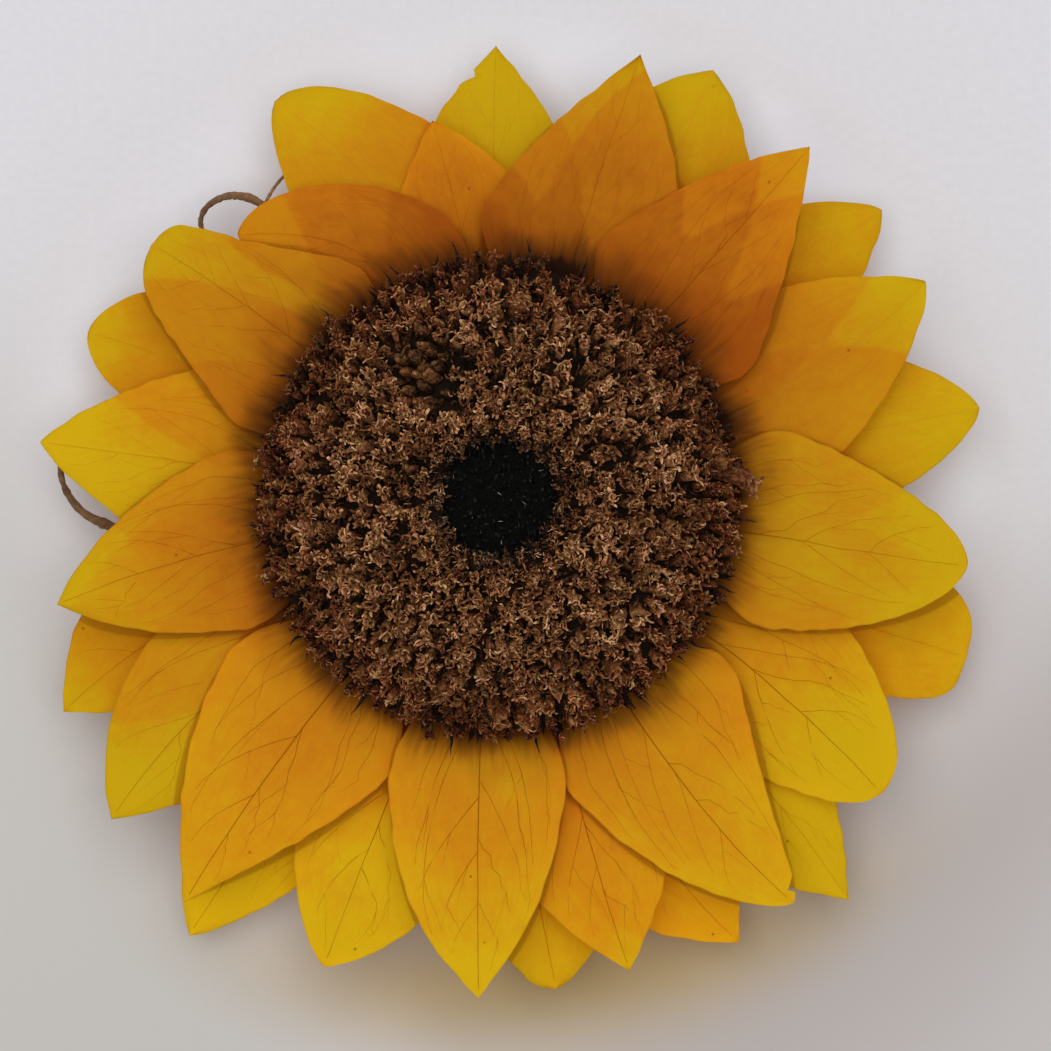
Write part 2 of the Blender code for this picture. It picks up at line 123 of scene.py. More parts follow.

# Name after petal_, level, heading and reach of the tip, width, fullness, bluntness, turn of the root, how
# much fuller the side before the heading and the side past it are two thirds of the way out, and
# the same at the root, in millimetres, all as in the solids. Then warmth from yellow at 0 to
# orange at 1, how strongly the veins show, how strongly the petals beneath show through as painted
# shade, and how much painted light scales the petal's colour: up for petals that lie in shade, down
# for those in the most light.
Petal = namedtuple(
    "Petal",
    "name level heading reach width fullness bluntness turn before past near_before near_past"
    " warmth veins sheer light",
)
PETAL_TABLE = (
    ("back_01", 0, 359.6, 63.6, 25.0, 2.25, 1.05, -0.5, 0.7, 0.3, 0.0, -0.2, 0.01, -0.10, 0.22, 0.89),
    ("back_02", 1, 26.5, 67.1, 28.0, 2.55, 0.80, 2.0, 1.0, 0.2, 0.0, 0.2, 0.18, -0.45, 0.22, 0.90),
    ("back_03", 0, 52.9, 67.4, 24.5, 2.00, 0.75, -1.5, 0.0, 0.0, 0.0, 0.0, 0.30, -0.40, 0.22, 0.93),
    ("back_04", 1, 79.3, 68.4, 26.0, 2.20, 0.70, 0.0, 0.5, -0.5, 0.0, -0.2, 0.18, -0.20, 0.30, 0.93),
    ("back_05", 0, 108.7, 69.4, 23.5, 2.75, 0.30, 1.0, 1.2, -1.7, 0.0, -0.3, 0.29, 0.15, 0.30, 1.01),
    ("back_06", 1, 138.9, 74.7, 26.5, 2.65, 1.05, -3.0, -1.7, 1.8, 0.2, 0.2, -0.06, 0.24, 0.30, 1.02),
    ("back_07", 0, 151.6, 70.8, 27.0, 2.75, 0.95, 7.5, 0.5, 0.2, 0.0, 0.1, 0.33, 0.40, 0.38, 1.17),
    ("back_08", 1, 173.4, 69.0, 25.5, 2.45, 0.60, 2.5, 1.0, -1.7, 0.0, -0.2, 0.24, 0.46, 0.38, 1.05),
    ("back_09", 0, 215.4, 75.5, 26.0, 2.35, 0.85, 0.5, -0.4, 0.9, 0.0, 0.0, -0.02, 0.32, 0.30, 1.12),
    ("back_10", 1, 244.0, 67.8, 27.0, 2.50, 0.95, 6.5, -0.2, 0.9, 0.0, 0.0, 0.26, 0.24, 0.38, 0.94),
    ("back_11", 0, 292.2, 62.2, 24.0, 2.10, 0.55, 2.0, -0.7, 0.8, 0.0, 0.0, 0.28, -0.15, 0.60, 0.91),
    ("back_12", 1, 330.6, 63.8, 27.5, 1.70, 0.55, 12.0, 0.6, -0.6, -0.2, 2.4, 0.24, -0.30, 0.75, 0.92),
    ("middle_1", 2, 350.0, 53.3, 22.5, 1.90, 0.95, 2.5, -0.2, 0.0, -0.2, 0.3, 0.16, 0.05, 0.68, 0.96),
    ("middle_2", 3, 63.0, 66.3, 27.5, 2.20, 0.80, 6.5, 0.4, -1.7, 0.0, 1.1, 0.12, -0.25, 0.75, 0.90),
    ("middle_3", 2, 127.5, 67.2, 29.0, 2.20, 0.55, -4.5, -0.7, -1.2, 1.1, 0.4, -0.01, 0.58, 0.38, 1.01),
    ("middle_4", 3, 164.5, 67.8, 26.5, 2.45, 1.00, 1.0, 0.4, 0.0, 0.3, 0.0, 0.26, 0.58, 0.38, 1.03),
    ("middle_5", 2, 200.5, 69.6, 27.0, 2.70, 0.80, -0.5, 0.9, -0.8, 0.5, -0.2, 0.04, 0.62, 0.38, 1.06),
    ("middle_6", 3, 230.4, 69.7, 25.5, 2.85, 0.95, 6.5, 0.0, 0.4, 0.0, -0.8, 0.10, 0.36, 0.45, 0.94),
    ("middle_7", 2, 277.1, 64.3, 28.5, 1.90, 0.85, -0.5, -0.9, -0.3, 0.9, 1.3, 0.03, 0.15, 0.68, 0.98),
    ("middle_8", 3, 315.3, 51.3, 17.0, 3.45, 0.65, 19.0, 0.0, -0.7, 0.0, 5.0, 0.49, 0.10, 0.75, 0.92),
    ("front_1", 4, 17.7, 64.3, 28.0, 1.95, 1.05, -0.5, -0.9, 0.3, 0.7, -0.3, 0.34, 0.06, 0.90, 0.86),
    ("front_2", 5, 41.5, 64.4, 27.5, 1.15, 0.90, 0.0, 1.2, 0.6, 0.2, 2.1, 0.40, 0.24, 0.90, 0.93),
    ("front_3", 4, 98.1, 65.3, 29.0, 1.90, 0.60, -0.5, -1.1, -0.3, 1.0, -2.4, 0.00, 0.40, 0.38, 0.92),
    ("front_4", 4, 143.9, 69.0, 29.0, 1.35, 0.70, 4.0, -1.2, 0.6, 2.1, -0.8, 0.11, 0.62, 0.30, 1.02),
    ("front_5", 5, 182.3, 68.6, 23.0, 3.15, 1.05, 2.0, -0.4, 0.0, 1.3, 1.4, 0.10, 0.66, 0.26, 1.02),
    ("front_6", 4, 217.9, 70.7, 29.0, 1.90, 1.05, 3.0, -0.6, 0.5, -0.7, 0.4, 0.17, 0.66, 0.34, 1.03),
    ("front_7", 5, 256.5, 62.3, 20.5, 3.00, 0.95, 3.5, 0.0, -1.0, 2.1, 5.0, 0.15, 0.34, 0.52, 0.92),
    ("front_8", 4, 306.1, 59.2, 22.0, 2.95, 0.45, 1.5, -0.8, -2.9, 5.0, 5.0, 0.15, 0.24, 0.90, 0.88),
)
PETALS = [Petal("petal_" + name, *values) for name, *values in PETAL_TABLE]

# The disc, as in the solids
DISC_RADIUS = 33.0 * MM
DISC_FOOT = 19.9 * MM
DISC_LIP = 21.0 * MM
DISC_RIM = 21.8 * MM
DISC_CREST = 26.6 * MM
CREST_RADIUS = 13.0 * MM
DISC_DIP = 0.8 * MM
DISC_FALL = 2.2
RIM_RADIUS = 29.9 * MM
HEART_RADIUS = 7.7 * MM
HEART_GAP = 0.3 * MM
HEART_FLOOR = 24.0 * MM
HEART_RIM = 25.0 * MM
HEART_CREST = 25.4 * MM

# The real florets, which the solids' peaks stand for
FLORET_SPACING = 1.60 * MM
INNER_SPACING = 1.20 * MM
INNER_EDGE = 12.0 * MM
FLORET_LENGTH = 3.7 * MM
FLORET_GIRTH = 1.85 * MM
TUBE_SIDES = 9
BUD_SIDES = 10
# How far florets, and buds of the heart, stand off the spiral each way, in millimetres
FLORET_SCATTER = 0.32
BUD_SCATTER = 0.28
# How far florets lean outwards, in radians, and how much they lean with their neighbours
MIDDLE_LEAN = -0.05
LEAN_GROWTH = 1.02
LEAN_CURVE = 1.7
LEAN_SCATTER = 0.18
SIDE_SCATTER = 0.22
CLUMP_PITCH = 7.0 * MM
CLUMP_LEAN = 0.12
# Florets are smaller and darker beside the heart and at the rim
SMALLEST_FLORET = 0.62
RIM_SHRINKING = 0.18
FLORET_TONE = 0.38
TONE_SCATTER = 0.18
HEART_SIDE_DARKNESS = 0.17
RIM_DARKNESS = 0.16
FLORET_SINK = 1.2 * MM
CLOSED_SHARE = 0.05
CLOSED_FROM = 11.0 * MM
BED_RADIUS = 31.7 * MM
FLORET_EDGE = 31.2 * MM
FLORET_RINGS = (
    ("florets_inner", 16.5 * MM),
    ("florets_middle", 23.0 * MM),
    ("florets_outer", 28.0 * MM),
    ("florets_rim", FLORET_EDGE),
)
FILLERS = 1400
BED_SIDES = 160
BED_STEPS = 26
BUD_SPACING = 0.72 * MM
HEART_SIDES = 48

# Where florets are missing: x, y and radius in millimetres
BARE_SPOTS = (
    (10.6, 18.0, 1.5),
    (8.3, 31.0, 2.7),
    (30.0, 11.2, 2.2),
    (31.4, 1.0, 2.0),
    (14.5, 24.0, 1.2),
    (-20.0, -3.0, 1.1),
    (16.0, -17.5, 1.3),
)
# How much further out the dark ring round the disc reaches beside such a gap, as painted shade, in
# millimetres
GAP_SHADE = 2.6
# How much further out the ring of dye and painted shade reaches at the top than at the sides, in
# millimetres
DYE_AND_SHADE_LEAN = 0.9
# Florets here never opened, and lie over like small nuts
CLOSED_SPOT = (-8.9, 15.9, 3.9)
NUT_LENGTH = 4.0 * MM
NUT_GIRTH = 2.2 * MM
NUT_SHARE = 0.95
NUT_DARKNESS = 0.20
# Long florets that fell outwards over the rim: where the foot and the mouth are, in millimetres
FALLEN_FLORETS = (
    ((26.2, 9.8), (30.4, 6.4)),
    ((27.0, 7.4), (31.0, 4.9)),
    ((29.8, 5.4), (34.9, 2.0)),
    ((28.6, 3.6), (33.4, 2.6)),
)
FALLEN_LEVEL = 24.0 * MM
FALLEN_TONE = 0.36

# Headings of the long dark chaff spines that stand out past the rim, how many short ones there
# are, and how many scales climb the wall beneath the rim
SPINES = (7, 20, 337, 128, 145, 216, 96, 262, 301, 47, 170, 190, 236, 111, 318, 349)
SHORT_SPINES = 90
WALL_SCALES = 260

# The back, as in the solids. THREADS holds three bracts' long tips by the heading that each
# bract grows at: plan points and widths in millimetres, and a tone from dark at 0 to tan at 1.
BRACT_ROOT_RADIUS = 26.5 * MM
BRACT_TIP_WIDTH = 0.9 * MM
BRACT_KEEL = 0.18
LOWEST_BRACT = 1.2 * MM
Series = namedtuple("Series", "count first_heading root_height length width lift droop")
BRACT_SERIES = (
    Series(12, 8.0, 9.8 * MM, 25.0 * MM, 12.0 * MM, 0.7 * MM, 5.5 * MM),
    Series(12, 23.0, 8.9 * MM, 20.0 * MM, 10.5 * MM, 0.4 * MM, 7.0 * MM),
)
THREAD_ROOM = 9.0 * MM
THREAD_HEIGHT = 7.6 * MM
THREAD_BRACT_SHARE = 0.42
Thread = namedtuple("Thread", "plan widths tone")
THREADS = {
    262.0: Thread(
        (
            (-42.0, -5.4), (-50.0, -5.0), (-54.6, -3.8), (-58.6, -1.8),
            (-61.1, 1.6), (-61.7, 5.2), (-60.4, 8.6),
        ),
        (2.2, 1.1), 0.28,
    ),
    321.0: Thread(
        (
            (-25.0, 32.0), (-32.6, 40.8), (-37.2, 42.7), (-40.8, 41.4),
            (-42.0, 38.8), (-40.4, 36.2), (-36.5, 33.6),
        ),
        (1.7, 0.8), 0.60,
    ),
    337.0: Thread(
        (
            (-18.5, 38.0), (-23.0, 46.0), (-26.8, 47.6), (-30.2, 45.5),
            (-32.4, 42.6), (-33.6, 39.4), (-32.4, 36.4),
        ),
        (0.8, 0.5), 0.75,
    ),
}
BRACT_THICKNESS = 0.40 * MM
BRACT_ROWS = 26
BRACT_COLUMNS = 15
BRACT_HAIRS = 36
THREAD_STEPS = 60
THREAD_TURNS = 1.5
THREAD_SIDES = 12

# The outline of the cut stem, the dish and its wall: radius and height in millimetres
STEM_OUTLINE = ((0, 0.35), (3.4, 0.3), (6.2, 0.15), (6.9, 0.0), (8.3, 0.0), (8.9, 0.45), (9.0, 2.0))
DISH_CURVE = ((9.0, 3.4), (12.0, 5.0), (18.0, 6.3), (25.0, 8.3), (28.6, 9.9), (29.9, 11.3))
WALL_OUTLINE = ((29.9, 11.3), (29.9, 15.0), (29.9, 19.6), (0, 19.6))
PITH_RADIUS = 6.5 * MM
STEM_RADIUS = 9.0 * MM
STEM_RIBS = 22
RIB_DEPTH = 0.012
BODY_SIDES = 192

YELLOW = (0.90, 0.66, 0.008)
GOLD = (0.89, 0.45, 0.009)
ORANGE = (0.84, 0.32, 0.009)
RUST = (0.60, 0.16, 0.006)
GLOW_YELLOW = (0.95, 0.62, 0.05)
VEIN_BROWN = (0.34, 0.075, 0.002)
VEIN_PALE = (0.95, 0.74, 0.05)
# Brown of the petals' dark edges and of the painted shadow of front petals
EDGE_AND_SHADE_BROWN = (0.36, 0.10, 0.004)
DYE_RUST = (0.52, 0.11, 0.004)
# Round the disc: a brown that is partly dye and partly painted shade, and a black that is painted shade
DYE_AND_SHADE_BROWN = (0.16, 0.042, 0.004)
RIM_SHADE_BLACK = (0.03, 0.009, 0.003)
PETAL_SHEERNESS = 0.50

# Colours by tone, as (tone, colour) stops
FLORET_BROWNS = (
    (0.0, (0.010, 0.004, 0.0015)),
    (0.30, (0.107, 0.036, 0.011)),
    (0.55, (0.25, 0.088, 0.030)),
    (0.80, (0.50, 0.22, 0.090)),
    (1.0, (0.76, 0.42, 0.22)),
)
FLORET_GREYS = (
    (0.0, (0.003, 0.004, 0.004)),
    (0.40, (0.028, 0.024, 0.018)),
    (0.70, (0.18, 0.13, 0.08)),
    (1.0, (0.66, 0.54, 0.38)),
)
FLORET_RUSSETS = (
    (0.0, (0.006, 0.002, 0.001)),
    (0.30, (0.085, 0.018, 0.004)),
    (0.55, (0.19, 0.047, 0.012)),
    (0.80, (0.37, 0.115, 0.036)),
    (1.0, (0.58, 0.23, 0.10)),
)
FLORET_OLIVES = (
    (0.0, (0.007, 0.004, 0.0015)),
    (0.55, (0.22, 0.105, 0.028)),
    (1.0, (0.68, 0.44, 0.19)),
)
HEART_BLACKS = (
    (0.0, (0.0015, 0.0016, 0.0014)),
    (0.55, (0.010, 0.010, 0.0085)),
    (0.8, (0.04, 0.042, 0.034)),
    (1.0, (0.40, 0.38, 0.33)),
)
BRACT_GREENS = ((0.0, (0.045, 0.030, 0.012)), (0.5, (0.17, 0.115, 0.045)), (1.0, (0.36, 0.25, 0.12)))
THREAD_BROWNS = ((0.0, (0.035, 0.016, 0.007)), (0.5, (0.20, 0.105, 0.045)), (1.0, (0.50, 0.30, 0.14)))

# The floor, with light and shade painted on: lighter and bluer where it is open, and dimmer and browner
# under petals
FLOOR_GRAIN = ((0.72, 0.71, 0.735), (0.76, 0.75, 0.775))
FLOOR_PAINTED_FALLOFF = (0.61, 0.58, 0.565)
FLOOR_PAINTED_LIGHT = (0.86, 0.90, 0.98)
FLOOR_PAINTED_SHADE = (0.49, 0.45, 0.43)
FLOOR_PAINTED_OLIVE_SHADE = (0.50, 0.50, 0.43)
FLOOR_PAINTED_AMBER_SHADE = (0.42, 0.27, 0.03)

# One large soft lamp overhead, and light from all round
KEY_PLACE = (-0.05, 0.13, 0.86)
KEY_SIZE = 0.85
KEY_POWER = 5.2
KEY_COLOUR = (1.0, 0.99, 0.985)
ROOM_COLOUR = (0.97, 0.975, 1.0)
ROOM_STRENGTH = 0.44


def heading_vector(heading):
    angle = math.radians(heading)
    return np.array([math.sin(angle), math.cos(angle)])


def outwards(heading):
    """The level unit vector at a heading."""
    return np.array([*heading_vector(heading), 0])


def smooth(low, high, x):
    """0 where x is under low, 1 where it is over high, and a smooth rise between them."""
    t = np.clip((x - low) / (high - low), 0, 1)
    return t * t * (3 - 2 * t)


def unit(vectors):
    return vectors / np.linalg.norm(vectors, axis=-1, keepdims=True)


def turn_about(vector, pivot, angle):
    """The vector turned about a unit pivot."""
    along = pivot * (pivot @ vector)
    cos, sin = math.cos(angle), math.sin(angle)
    return vector * cos + np.cross(pivot, vector) * sin + along * (1 - cos)


def cross_ways(axis):
    """Two unit vectors square to the axis and to each other."""
    other = np.array([1.0, 0, 0]) if abs(axis[0]) < 0.8 else np.array([0, 1.0, 0])
    first = unit(np.cross(axis, other))
    return first, np.cross(axis, first)


def curl(start, ahead, pivot, turns, step):
    """Points of a strand that starts ahead and turns about the pivot by each turn, in radians."""
    points = [start]
    for turn in turns:
        ahead = turn_about(ahead, pivot, turn)
        points.append(points[-1] + ahead * step)
    return np.array(points)


class Waves:
    """A smooth seeded curve through any number, made of a few sine waves."""

    def __init__(self, draw, pitch, count=5):
        self.rates = [2 * math.pi / pitch * draw.uniform(0.4, 1.6) for _ in range(count)]
        self.phases = [draw.uniform(0, 2 * math.pi) for _ in range(count)]

    def __call__(self, x):
        parts = [np.sin(rate * x + phase) for rate, phase in zip(self.rates, self.phases)]
        return sum(parts) / math.sqrt(len(parts))


class EdgeWaves:
    """Waves of their own along each of a blade's two edges."""

    def __init__(self, draw, pitch):
        self.waves = {side: Waves(draw, pitch) for side in (-1, 1)}

    def __call__(self, place, v, low, high):
        """The waves at a place along, which fade in from low to high across each half."""
        return sum(smooth(low, high, side * v) * wave(place) for side, wave in self.waves.items())


# Materials


class Paint:
    """The node tree of one material, with a Principled shader at its end."""

    def __init__(self, name, roughness=0.6, **shader_values):
        self.material = bpy.data.materials.new(name)
        self.material.use_nodes = True
        self.tree = self.material.node_tree
        self.shader = self.tree.nodes["Principled BSDF"]
        self.shader.inputs["Roughness"].default_value = roughness
        for socket, value in shader_values.items():
            self.shader.inputs[socket.replace("_", " ")].default_value = value

    def node(self, kind, inputs=(), **settings):
        """A new node. inputs are pairs of a socket's name or number and its value or source."""
        node = self.tree.nodes.new("ShaderNode" + kind)
        for setting, value in settings.items():
            setattr(node, setting, value)
        for socket, value in inputs:
            if isinstance(value, bpy.types.NodeSocket):
                self.tree.links.new(value, node.inputs[socket])
            else:
                node.inputs[socket].default_value = value
        return node

    def attribute(self, name):
        return self.node("Attribute", attribute_name=name).outputs["Fac"]

    def place(self):
        return self.node("TexCoord").outputs["Object"]

    def math(self, operation, a, b=0.0, clamp=False):
        node = self.node("Math", [(0, a), (1, b)], operation=operation, use_clamp=clamp)
        return node.outputs[0]

    def add(self, a, b, clamp=False):
        return self.math("ADD", a, b, clamp)

    def times(self, a, b, clamp=False):
        return self.math("MULTIPLY", a, b, clamp)

    def vary(self, value, noise, reach, clamp=False):
        """The value plus or minus up to about the reach, by a noise."""
        return self.add(value, self.remap(noise, 0.3, 0.7, -reach, reach), clamp)

    def vector(self, operation, *inputs):
        return self.node("VectorMath", enumerate(inputs), operation=operation).outputs

    def remap(self, value, low, high, to_low=0.0, to_high=1.0, smoothly=False):
        kind = "SMOOTHSTEP" if smoothly else "LINEAR"
        inputs = [("Value", value), ("From Min", low), ("From Max", high)]
        inputs += [("To Min", to_low), ("To Max", to_high)]
        return self.node("MapRange", inputs, interpolation_type=kind).outputs[0]

    def noise(self, scale, where=None, detail=2.0, roughness=0.55, flat=False):
        inputs = [("Vector", where or self.place()), ("Scale", scale)]
        inputs += [("Detail", detail), ("Roughness", roughness)]
        ways = "2D" if flat else "3D"
        return self.node("TexNoise", inputs, noise_dimensions=ways).outputs["Fac"]

    def stretched(self, where, x, y, z=1.0):
        node = self.node("Mapping", [("Vector", where), ("Scale", (x, y, z))])
        return node.outputs[0]

    def bent(self, where, scale, reach):
        """The places moved about by a noise, by up to about half the reach each way."""
        inputs = [("Vector", self.place()), ("Scale", scale), ("Detail", 1.0)]
        noise = self.node("TexNoise", inputs, noise_dimensions="2D")
        away = self.vector("SUBTRACT", noise.outputs["Color"], (0.5, 0.5, 0.5))[0]
        return self.vector("MULTIPLY_ADD", away, (reach, reach, reach), where)[0]

    def mix(self, share, first, second):
        """A colour between two colours or colour sockets."""
        inputs = [("Factor", share)]
        node = self.node("Mix", inputs, data_type="RGBA", clamp_factor=True)
        for socket, value in ((node.inputs[6], first), (node.inputs[7], second)):
            if isinstance(value, bpy.types.NodeSocket):
                self.tree.links.new(value, socket)
            else:
                socket.default_value = (*value, 1)
        return node.outputs[2]

    def ramp(self, value, stops):
        """A colour that follows value through (position, colour) stops."""
        node = self.node("ValToRGB", [("Fac", value)])
        elements = node.color_ramp.elements
        while len(elements) < len(stops):
            elements.new(0.5)
        for element, (position, colour) in zip(elements, stops):
            element.position = position
            element.color = (*colour, 1)
        return node.outputs[0]

    def finish(self, colour, bump=None, strength=0.3, depth=0.1 * MM):
        self.tree.links.new(colour, self.shader.inputs["Base Color"])
        if bump:
            inputs = [("Height", bump), ("Strength", strength), ("Distance", depth)]
            normal = self.node("Bump", inputs).outputs[0]
            self.tree.links.new(normal, self.shader.inputs["Normal"])
        return self.material


def petal_paint():
    """Yellow to orange by each point's warmth, and deeper where another petal lies beneath, as painted
    shade where less light shines through. Each petal's colour is scaled by its light, as painted
    light. The petals' dark edges, partly painted shade, and a front petal's painted shadow are brown,
    and round the disc lies a brown ring, partly the petals' own colouring and partly painted shade,
    with painted black shade at the rim. In millimetres, under_1 and under_2 are how far inside the
    outlines of petals beneath a point is, over how far inside a front petal's painted shadow, edge
    how far inside its own outline, and out how far from the middle, for the ring."""
    paint = Paint("petal", roughness=0.62, Specular_IOR_Level=0.07)
    length = paint.attribute("along")
    width = paint.attribute("across")
    grain_place = paint.node("CombineXYZ", [(0, width), (1, length)]).outputs[0]
    streaks = paint.noise(1.0, paint.stretched(grain_place, 1300, 90), detail=2.5, flat=True)
    mottle = paint.noise(420.0, detail=2.0, roughness=0.65, flat=True)
    patches = paint.noise(70.0, detail=0.0, flat=True)
    warmth = paint.vary(paint.attribute("warmth"), patches, 0.08)
    warmth = paint.vary(warmth, streaks, 0.04)
    warmth = paint.vary(warmth, mottle, 0.05)
    # Painted shade: deeper where other petals lie beneath and less light shines through, as strongly as
    # each petal's sheer says
    once = paint.remap(paint.attribute("under_1"), -0.35, 0.35, 0.0, 0.25, smoothly=True)
    twice = paint.remap(paint.attribute("under_2"), -0.45, 0.45, 0.0, 0.15, smoothly=True)
    under = paint.times(paint.add(once, twice), paint.attribute("sheer"))
    warmth = paint.add(warmth, under, clamp=True)
    stops = (0.0, YELLOW), (0.35, GOLD), (0.65, ORANGE), (1.0, RUST)
    colour = paint.ramp(warmth, stops)
    # Painted light: each petal's whole colour is scaled up where it lies in shade and down where it gets
    # the most light
    light = [(0, colour), ("Scale", paint.attribute("light"))]
    colour = paint.node("VectorMath", light, operation="SCALE").outputs[0]
    edge = paint.remap(paint.attribute("edge"), 0.0, 0.26, EDGE_LINE, 0.0)
    colour = paint.mix(edge, colour, EDGE_AND_SHADE_BROWN)
    # Painted shadow: brown just past the edge of a front petal above, towards -Y
    over = paint.attribute("over")
    shade = paint.remap(over, -0.35, 0.05, 0.0, SHADE_STRENGTH, smoothly=True)
    colour = paint.mix(shade, colour, EDGE_AND_SHADE_BROWN)
    warped = paint.stretched(paint.bent(grain_place, 260.0, 0.5 * MM), 620, 330)
    net_inputs = [("Vector", warped), ("Scale", 1.0)]
    flat_edges = dict(feature="DISTANCE_TO_EDGE", voronoi_dimensions="2D")
    net = paint.node("TexVoronoi", net_inputs, **flat_edges).outputs["Distance"]
    net = paint.remap(net, 0.0, 0.07, 0.08, 0.0)
    net = paint.times(net, paint.remap(patches, 0.4, 0.6, 0.2, 1.0))
    colour = paint.mix(net, colour, VEIN_BROWN)
    vein = paint.attribute("vein")
    colour = paint.mix(vein, colour, VEIN_BROWN)
    colour = paint.mix(paint.times(vein, -1.0, clamp=True), colour, VEIN_PALE)
    speck_inputs = [("Vector", paint.place()), ("Scale", 75.0)]
    cells = paint.node("TexVoronoi", speck_inputs, voronoi_dimensions="2D")
    specks = paint.remap(cells.outputs["Distance"], 0.010, 0.018, 0.7, 0.0)
    specks = paint.times(specks, paint.remap(patches, 0.56, 0.60))
    colour = paint.mix(specks, colour, VEIN_BROWN)
    ragged = paint.noise(150.0, detail=1.0, flat=True)
    out = paint.vary(paint.attribute("out"), ragged, 1.1)
    out = paint.vary(out, streaks, 0.7)
    tinge = paint.remap(out, *TINGE_RING, 0.0, 0.50, smoothly=True)
    colour = paint.mix(tinge, colour, DYE_RUST)
    # The brown is partly dye and partly painted shade, and the black is painted shade under the florets at
    # the rim
    dye_and_shade = paint.remap(out, *BROWN_RING, 0.0, 0.9, smoothly=True)
    dark = paint.remap(out, *BLACK_RING, smoothly=True)
    colour = paint.mix(dye_and_shade, colour, DYE_AND_SHADE_BROWN)
    colour = paint.mix(dark, colour, RIM_SHADE_BLACK)
    material = paint.finish(colour)
    glow = paint.mix(0.35, colour, GLOW_YELLOW)
    sheer = paint.node("BsdfTranslucent", [("Color", glow)])
    both = paint.node("MixShader", [(0, PETAL_SHEERNESS), (1, paint.shader.outputs[0])])
    paint.tree.links.new(sheer.outputs[0], both.inputs[2])
    output = paint.tree.nodes["Material Output"]
    paint.tree.links.new(both.outputs[0], output.inputs["Surface"])
    return material


def floret_paint():
    """Dark at a floret's foot to tan at its curled ends. young greys the ones by the heart, and
    russet reddens the ones at the rim."""
    paint = Paint("floret", roughness=0.85, Specular_IOR_Level=0.12)
    fleck = paint.noise(2000.0, detail=1.0, roughness=0.75)
    patch = paint.noise(160.0, detail=0.0)
    tint = paint.noise(700.0, detail=1.0)
    tone = paint.vary(paint.attribute("tone"), fleck, 0.22)
    tone = paint.vary(tone, patch, 0.07, clamp=True)
    colour = paint.ramp(tone, FLORET_BROWNS)
    grey = paint.ramp(tone, FLORET_GREYS)
    russet = paint.ramp(tone, FLORET_RUSSETS)
    olive = paint.ramp(tone, FLORET_OLIVES)
    colour = paint.mix(paint.attribute("russet"), colour, russet)
    colour = paint.mix(paint.remap(tint, 0.50, 0.62, 0.0, 0.7), colour, olive)
    mauve = paint.mix(0.5, russet, grey)
    colour = paint.mix(paint.remap(tint, 0.48, 0.36, 0.0, 0.45), colour, mauve)
    colour = paint.mix(paint.attribute("young"), colour, grey)
    crumbs = paint.noise(2200.0, detail=0.0)
    return paint.finish(colour, crumbs, strength=0.9, depth=0.20 * MM)


def heart_paint():
    paint = Paint("heart", roughness=0.9, Specular_IOR_Level=0.05)
    fleck = paint.noise(2600.0, detail=2.0)
    tone = paint.vary(paint.attribute("tone"), fleck, 0.1)
    colour = paint.ramp(tone, HEART_BLACKS)
    return paint.finish(colour, fleck, strength=0.4, depth=0.05 * MM)


def leaf_paint(name, stops):
    """Dried green tissue: ribbed lengthways, blotched, and paler on its ribs and edges."""
    paint = Paint(name, roughness=0.8, Specular_IOR_Level=0.25, Sheen_Weight=0.15)
    blotch = paint.noise(130.0, detail=4.0)
    fleck = paint.noise(1500.0, detail=3.0)
    tone = paint.times(paint.attribute("tone"), 0.6)
    tone = paint.add(tone, paint.remap(blotch, 0.3, 0.7, -0.05, 0.30))
    tone = paint.vary(tone, fleck, 0.08, clamp=True)
    colour = paint.ramp(tone, stops)
    return paint.finish(colour, fleck, strength=0.5, depth=0.15 * MM)


def floor_paint():
    """Pale paper, with light and shade painted on: dimmer towards -Y, lighter and bluer where it is open
    round the head, and the head's broad soft shadow painted on it.
    """
    paint = Paint("floor", roughness=0.9, Specular_IOR_Level=0.2)
    grain = paint.noise(900.0, detail=0.0)
    y = paint.node("SeparateXYZ", [("Vector", paint.place())]).outputs["Y"]
    away = paint.vector("LENGTH", paint.place())["Value"]

    def towards(heading, low, high, most):
        """From 0 to most with the distance towards a heading."""
        reach = paint.vector("DOT_PRODUCT", paint.place(), outwards(heading))["Value"]
        return paint.remap(reach, low, high, 0.0, most, smoothly=True)

    # Painted shade: dimmer towards -Y, as the lamp's light falls off
    near = paint.remap(y, 0.06, -0.10, smoothly=True)
    colour = paint.mix(grain, *FLOOR_GRAIN)
    colour = paint.mix(near, colour, FLOOR_PAINTED_FALLOFF)
    # Painted light: lighter and bluer just round the head, at its top and towards the upper right
    clear = paint.remap(y, -0.03, 0.01, 0.0, 0.33, smoothly=True)
    clear = paint.add(clear, towards(55, 0.03, 0.06, 0.50))
    clear = paint.times(clear, paint.remap(away, 0.073, 0.061, smoothly=True))
    colour = paint.mix(clear, colour, FLOOR_PAINTED_LIGHT)
    # Painted shadow: the head's broad soft shadow towards the lower right
    broad = paint.remap(away, 0.115, 0.082, 0.35, 1.0, smoothly=True)
    broad = paint.times(broad, towards(140, 0.045, 0.085, 1.0))
    colour = paint.mix(broad, colour, FLOOR_PAINTED_SHADE)
    # Painted shade towards the lower left
    colour = paint.mix(towards(245, 0.045, 0.072, 0.37), colour, FLOOR_PAINTED_OLIVE_SHADE)
    # Painted shadow, browned by light through the petals, close under the head's bottom edge
    shade = paint.remap(away, 0.086, 0.066, smoothly=True)
    shade = paint.times(shade, towards(172, 0.048, 0.074, 0.85))
    colour = paint.mix(shade, colour, FLOOR_PAINTED_AMBER_SHADE)
    return paint.finish(colour)


# Meshes


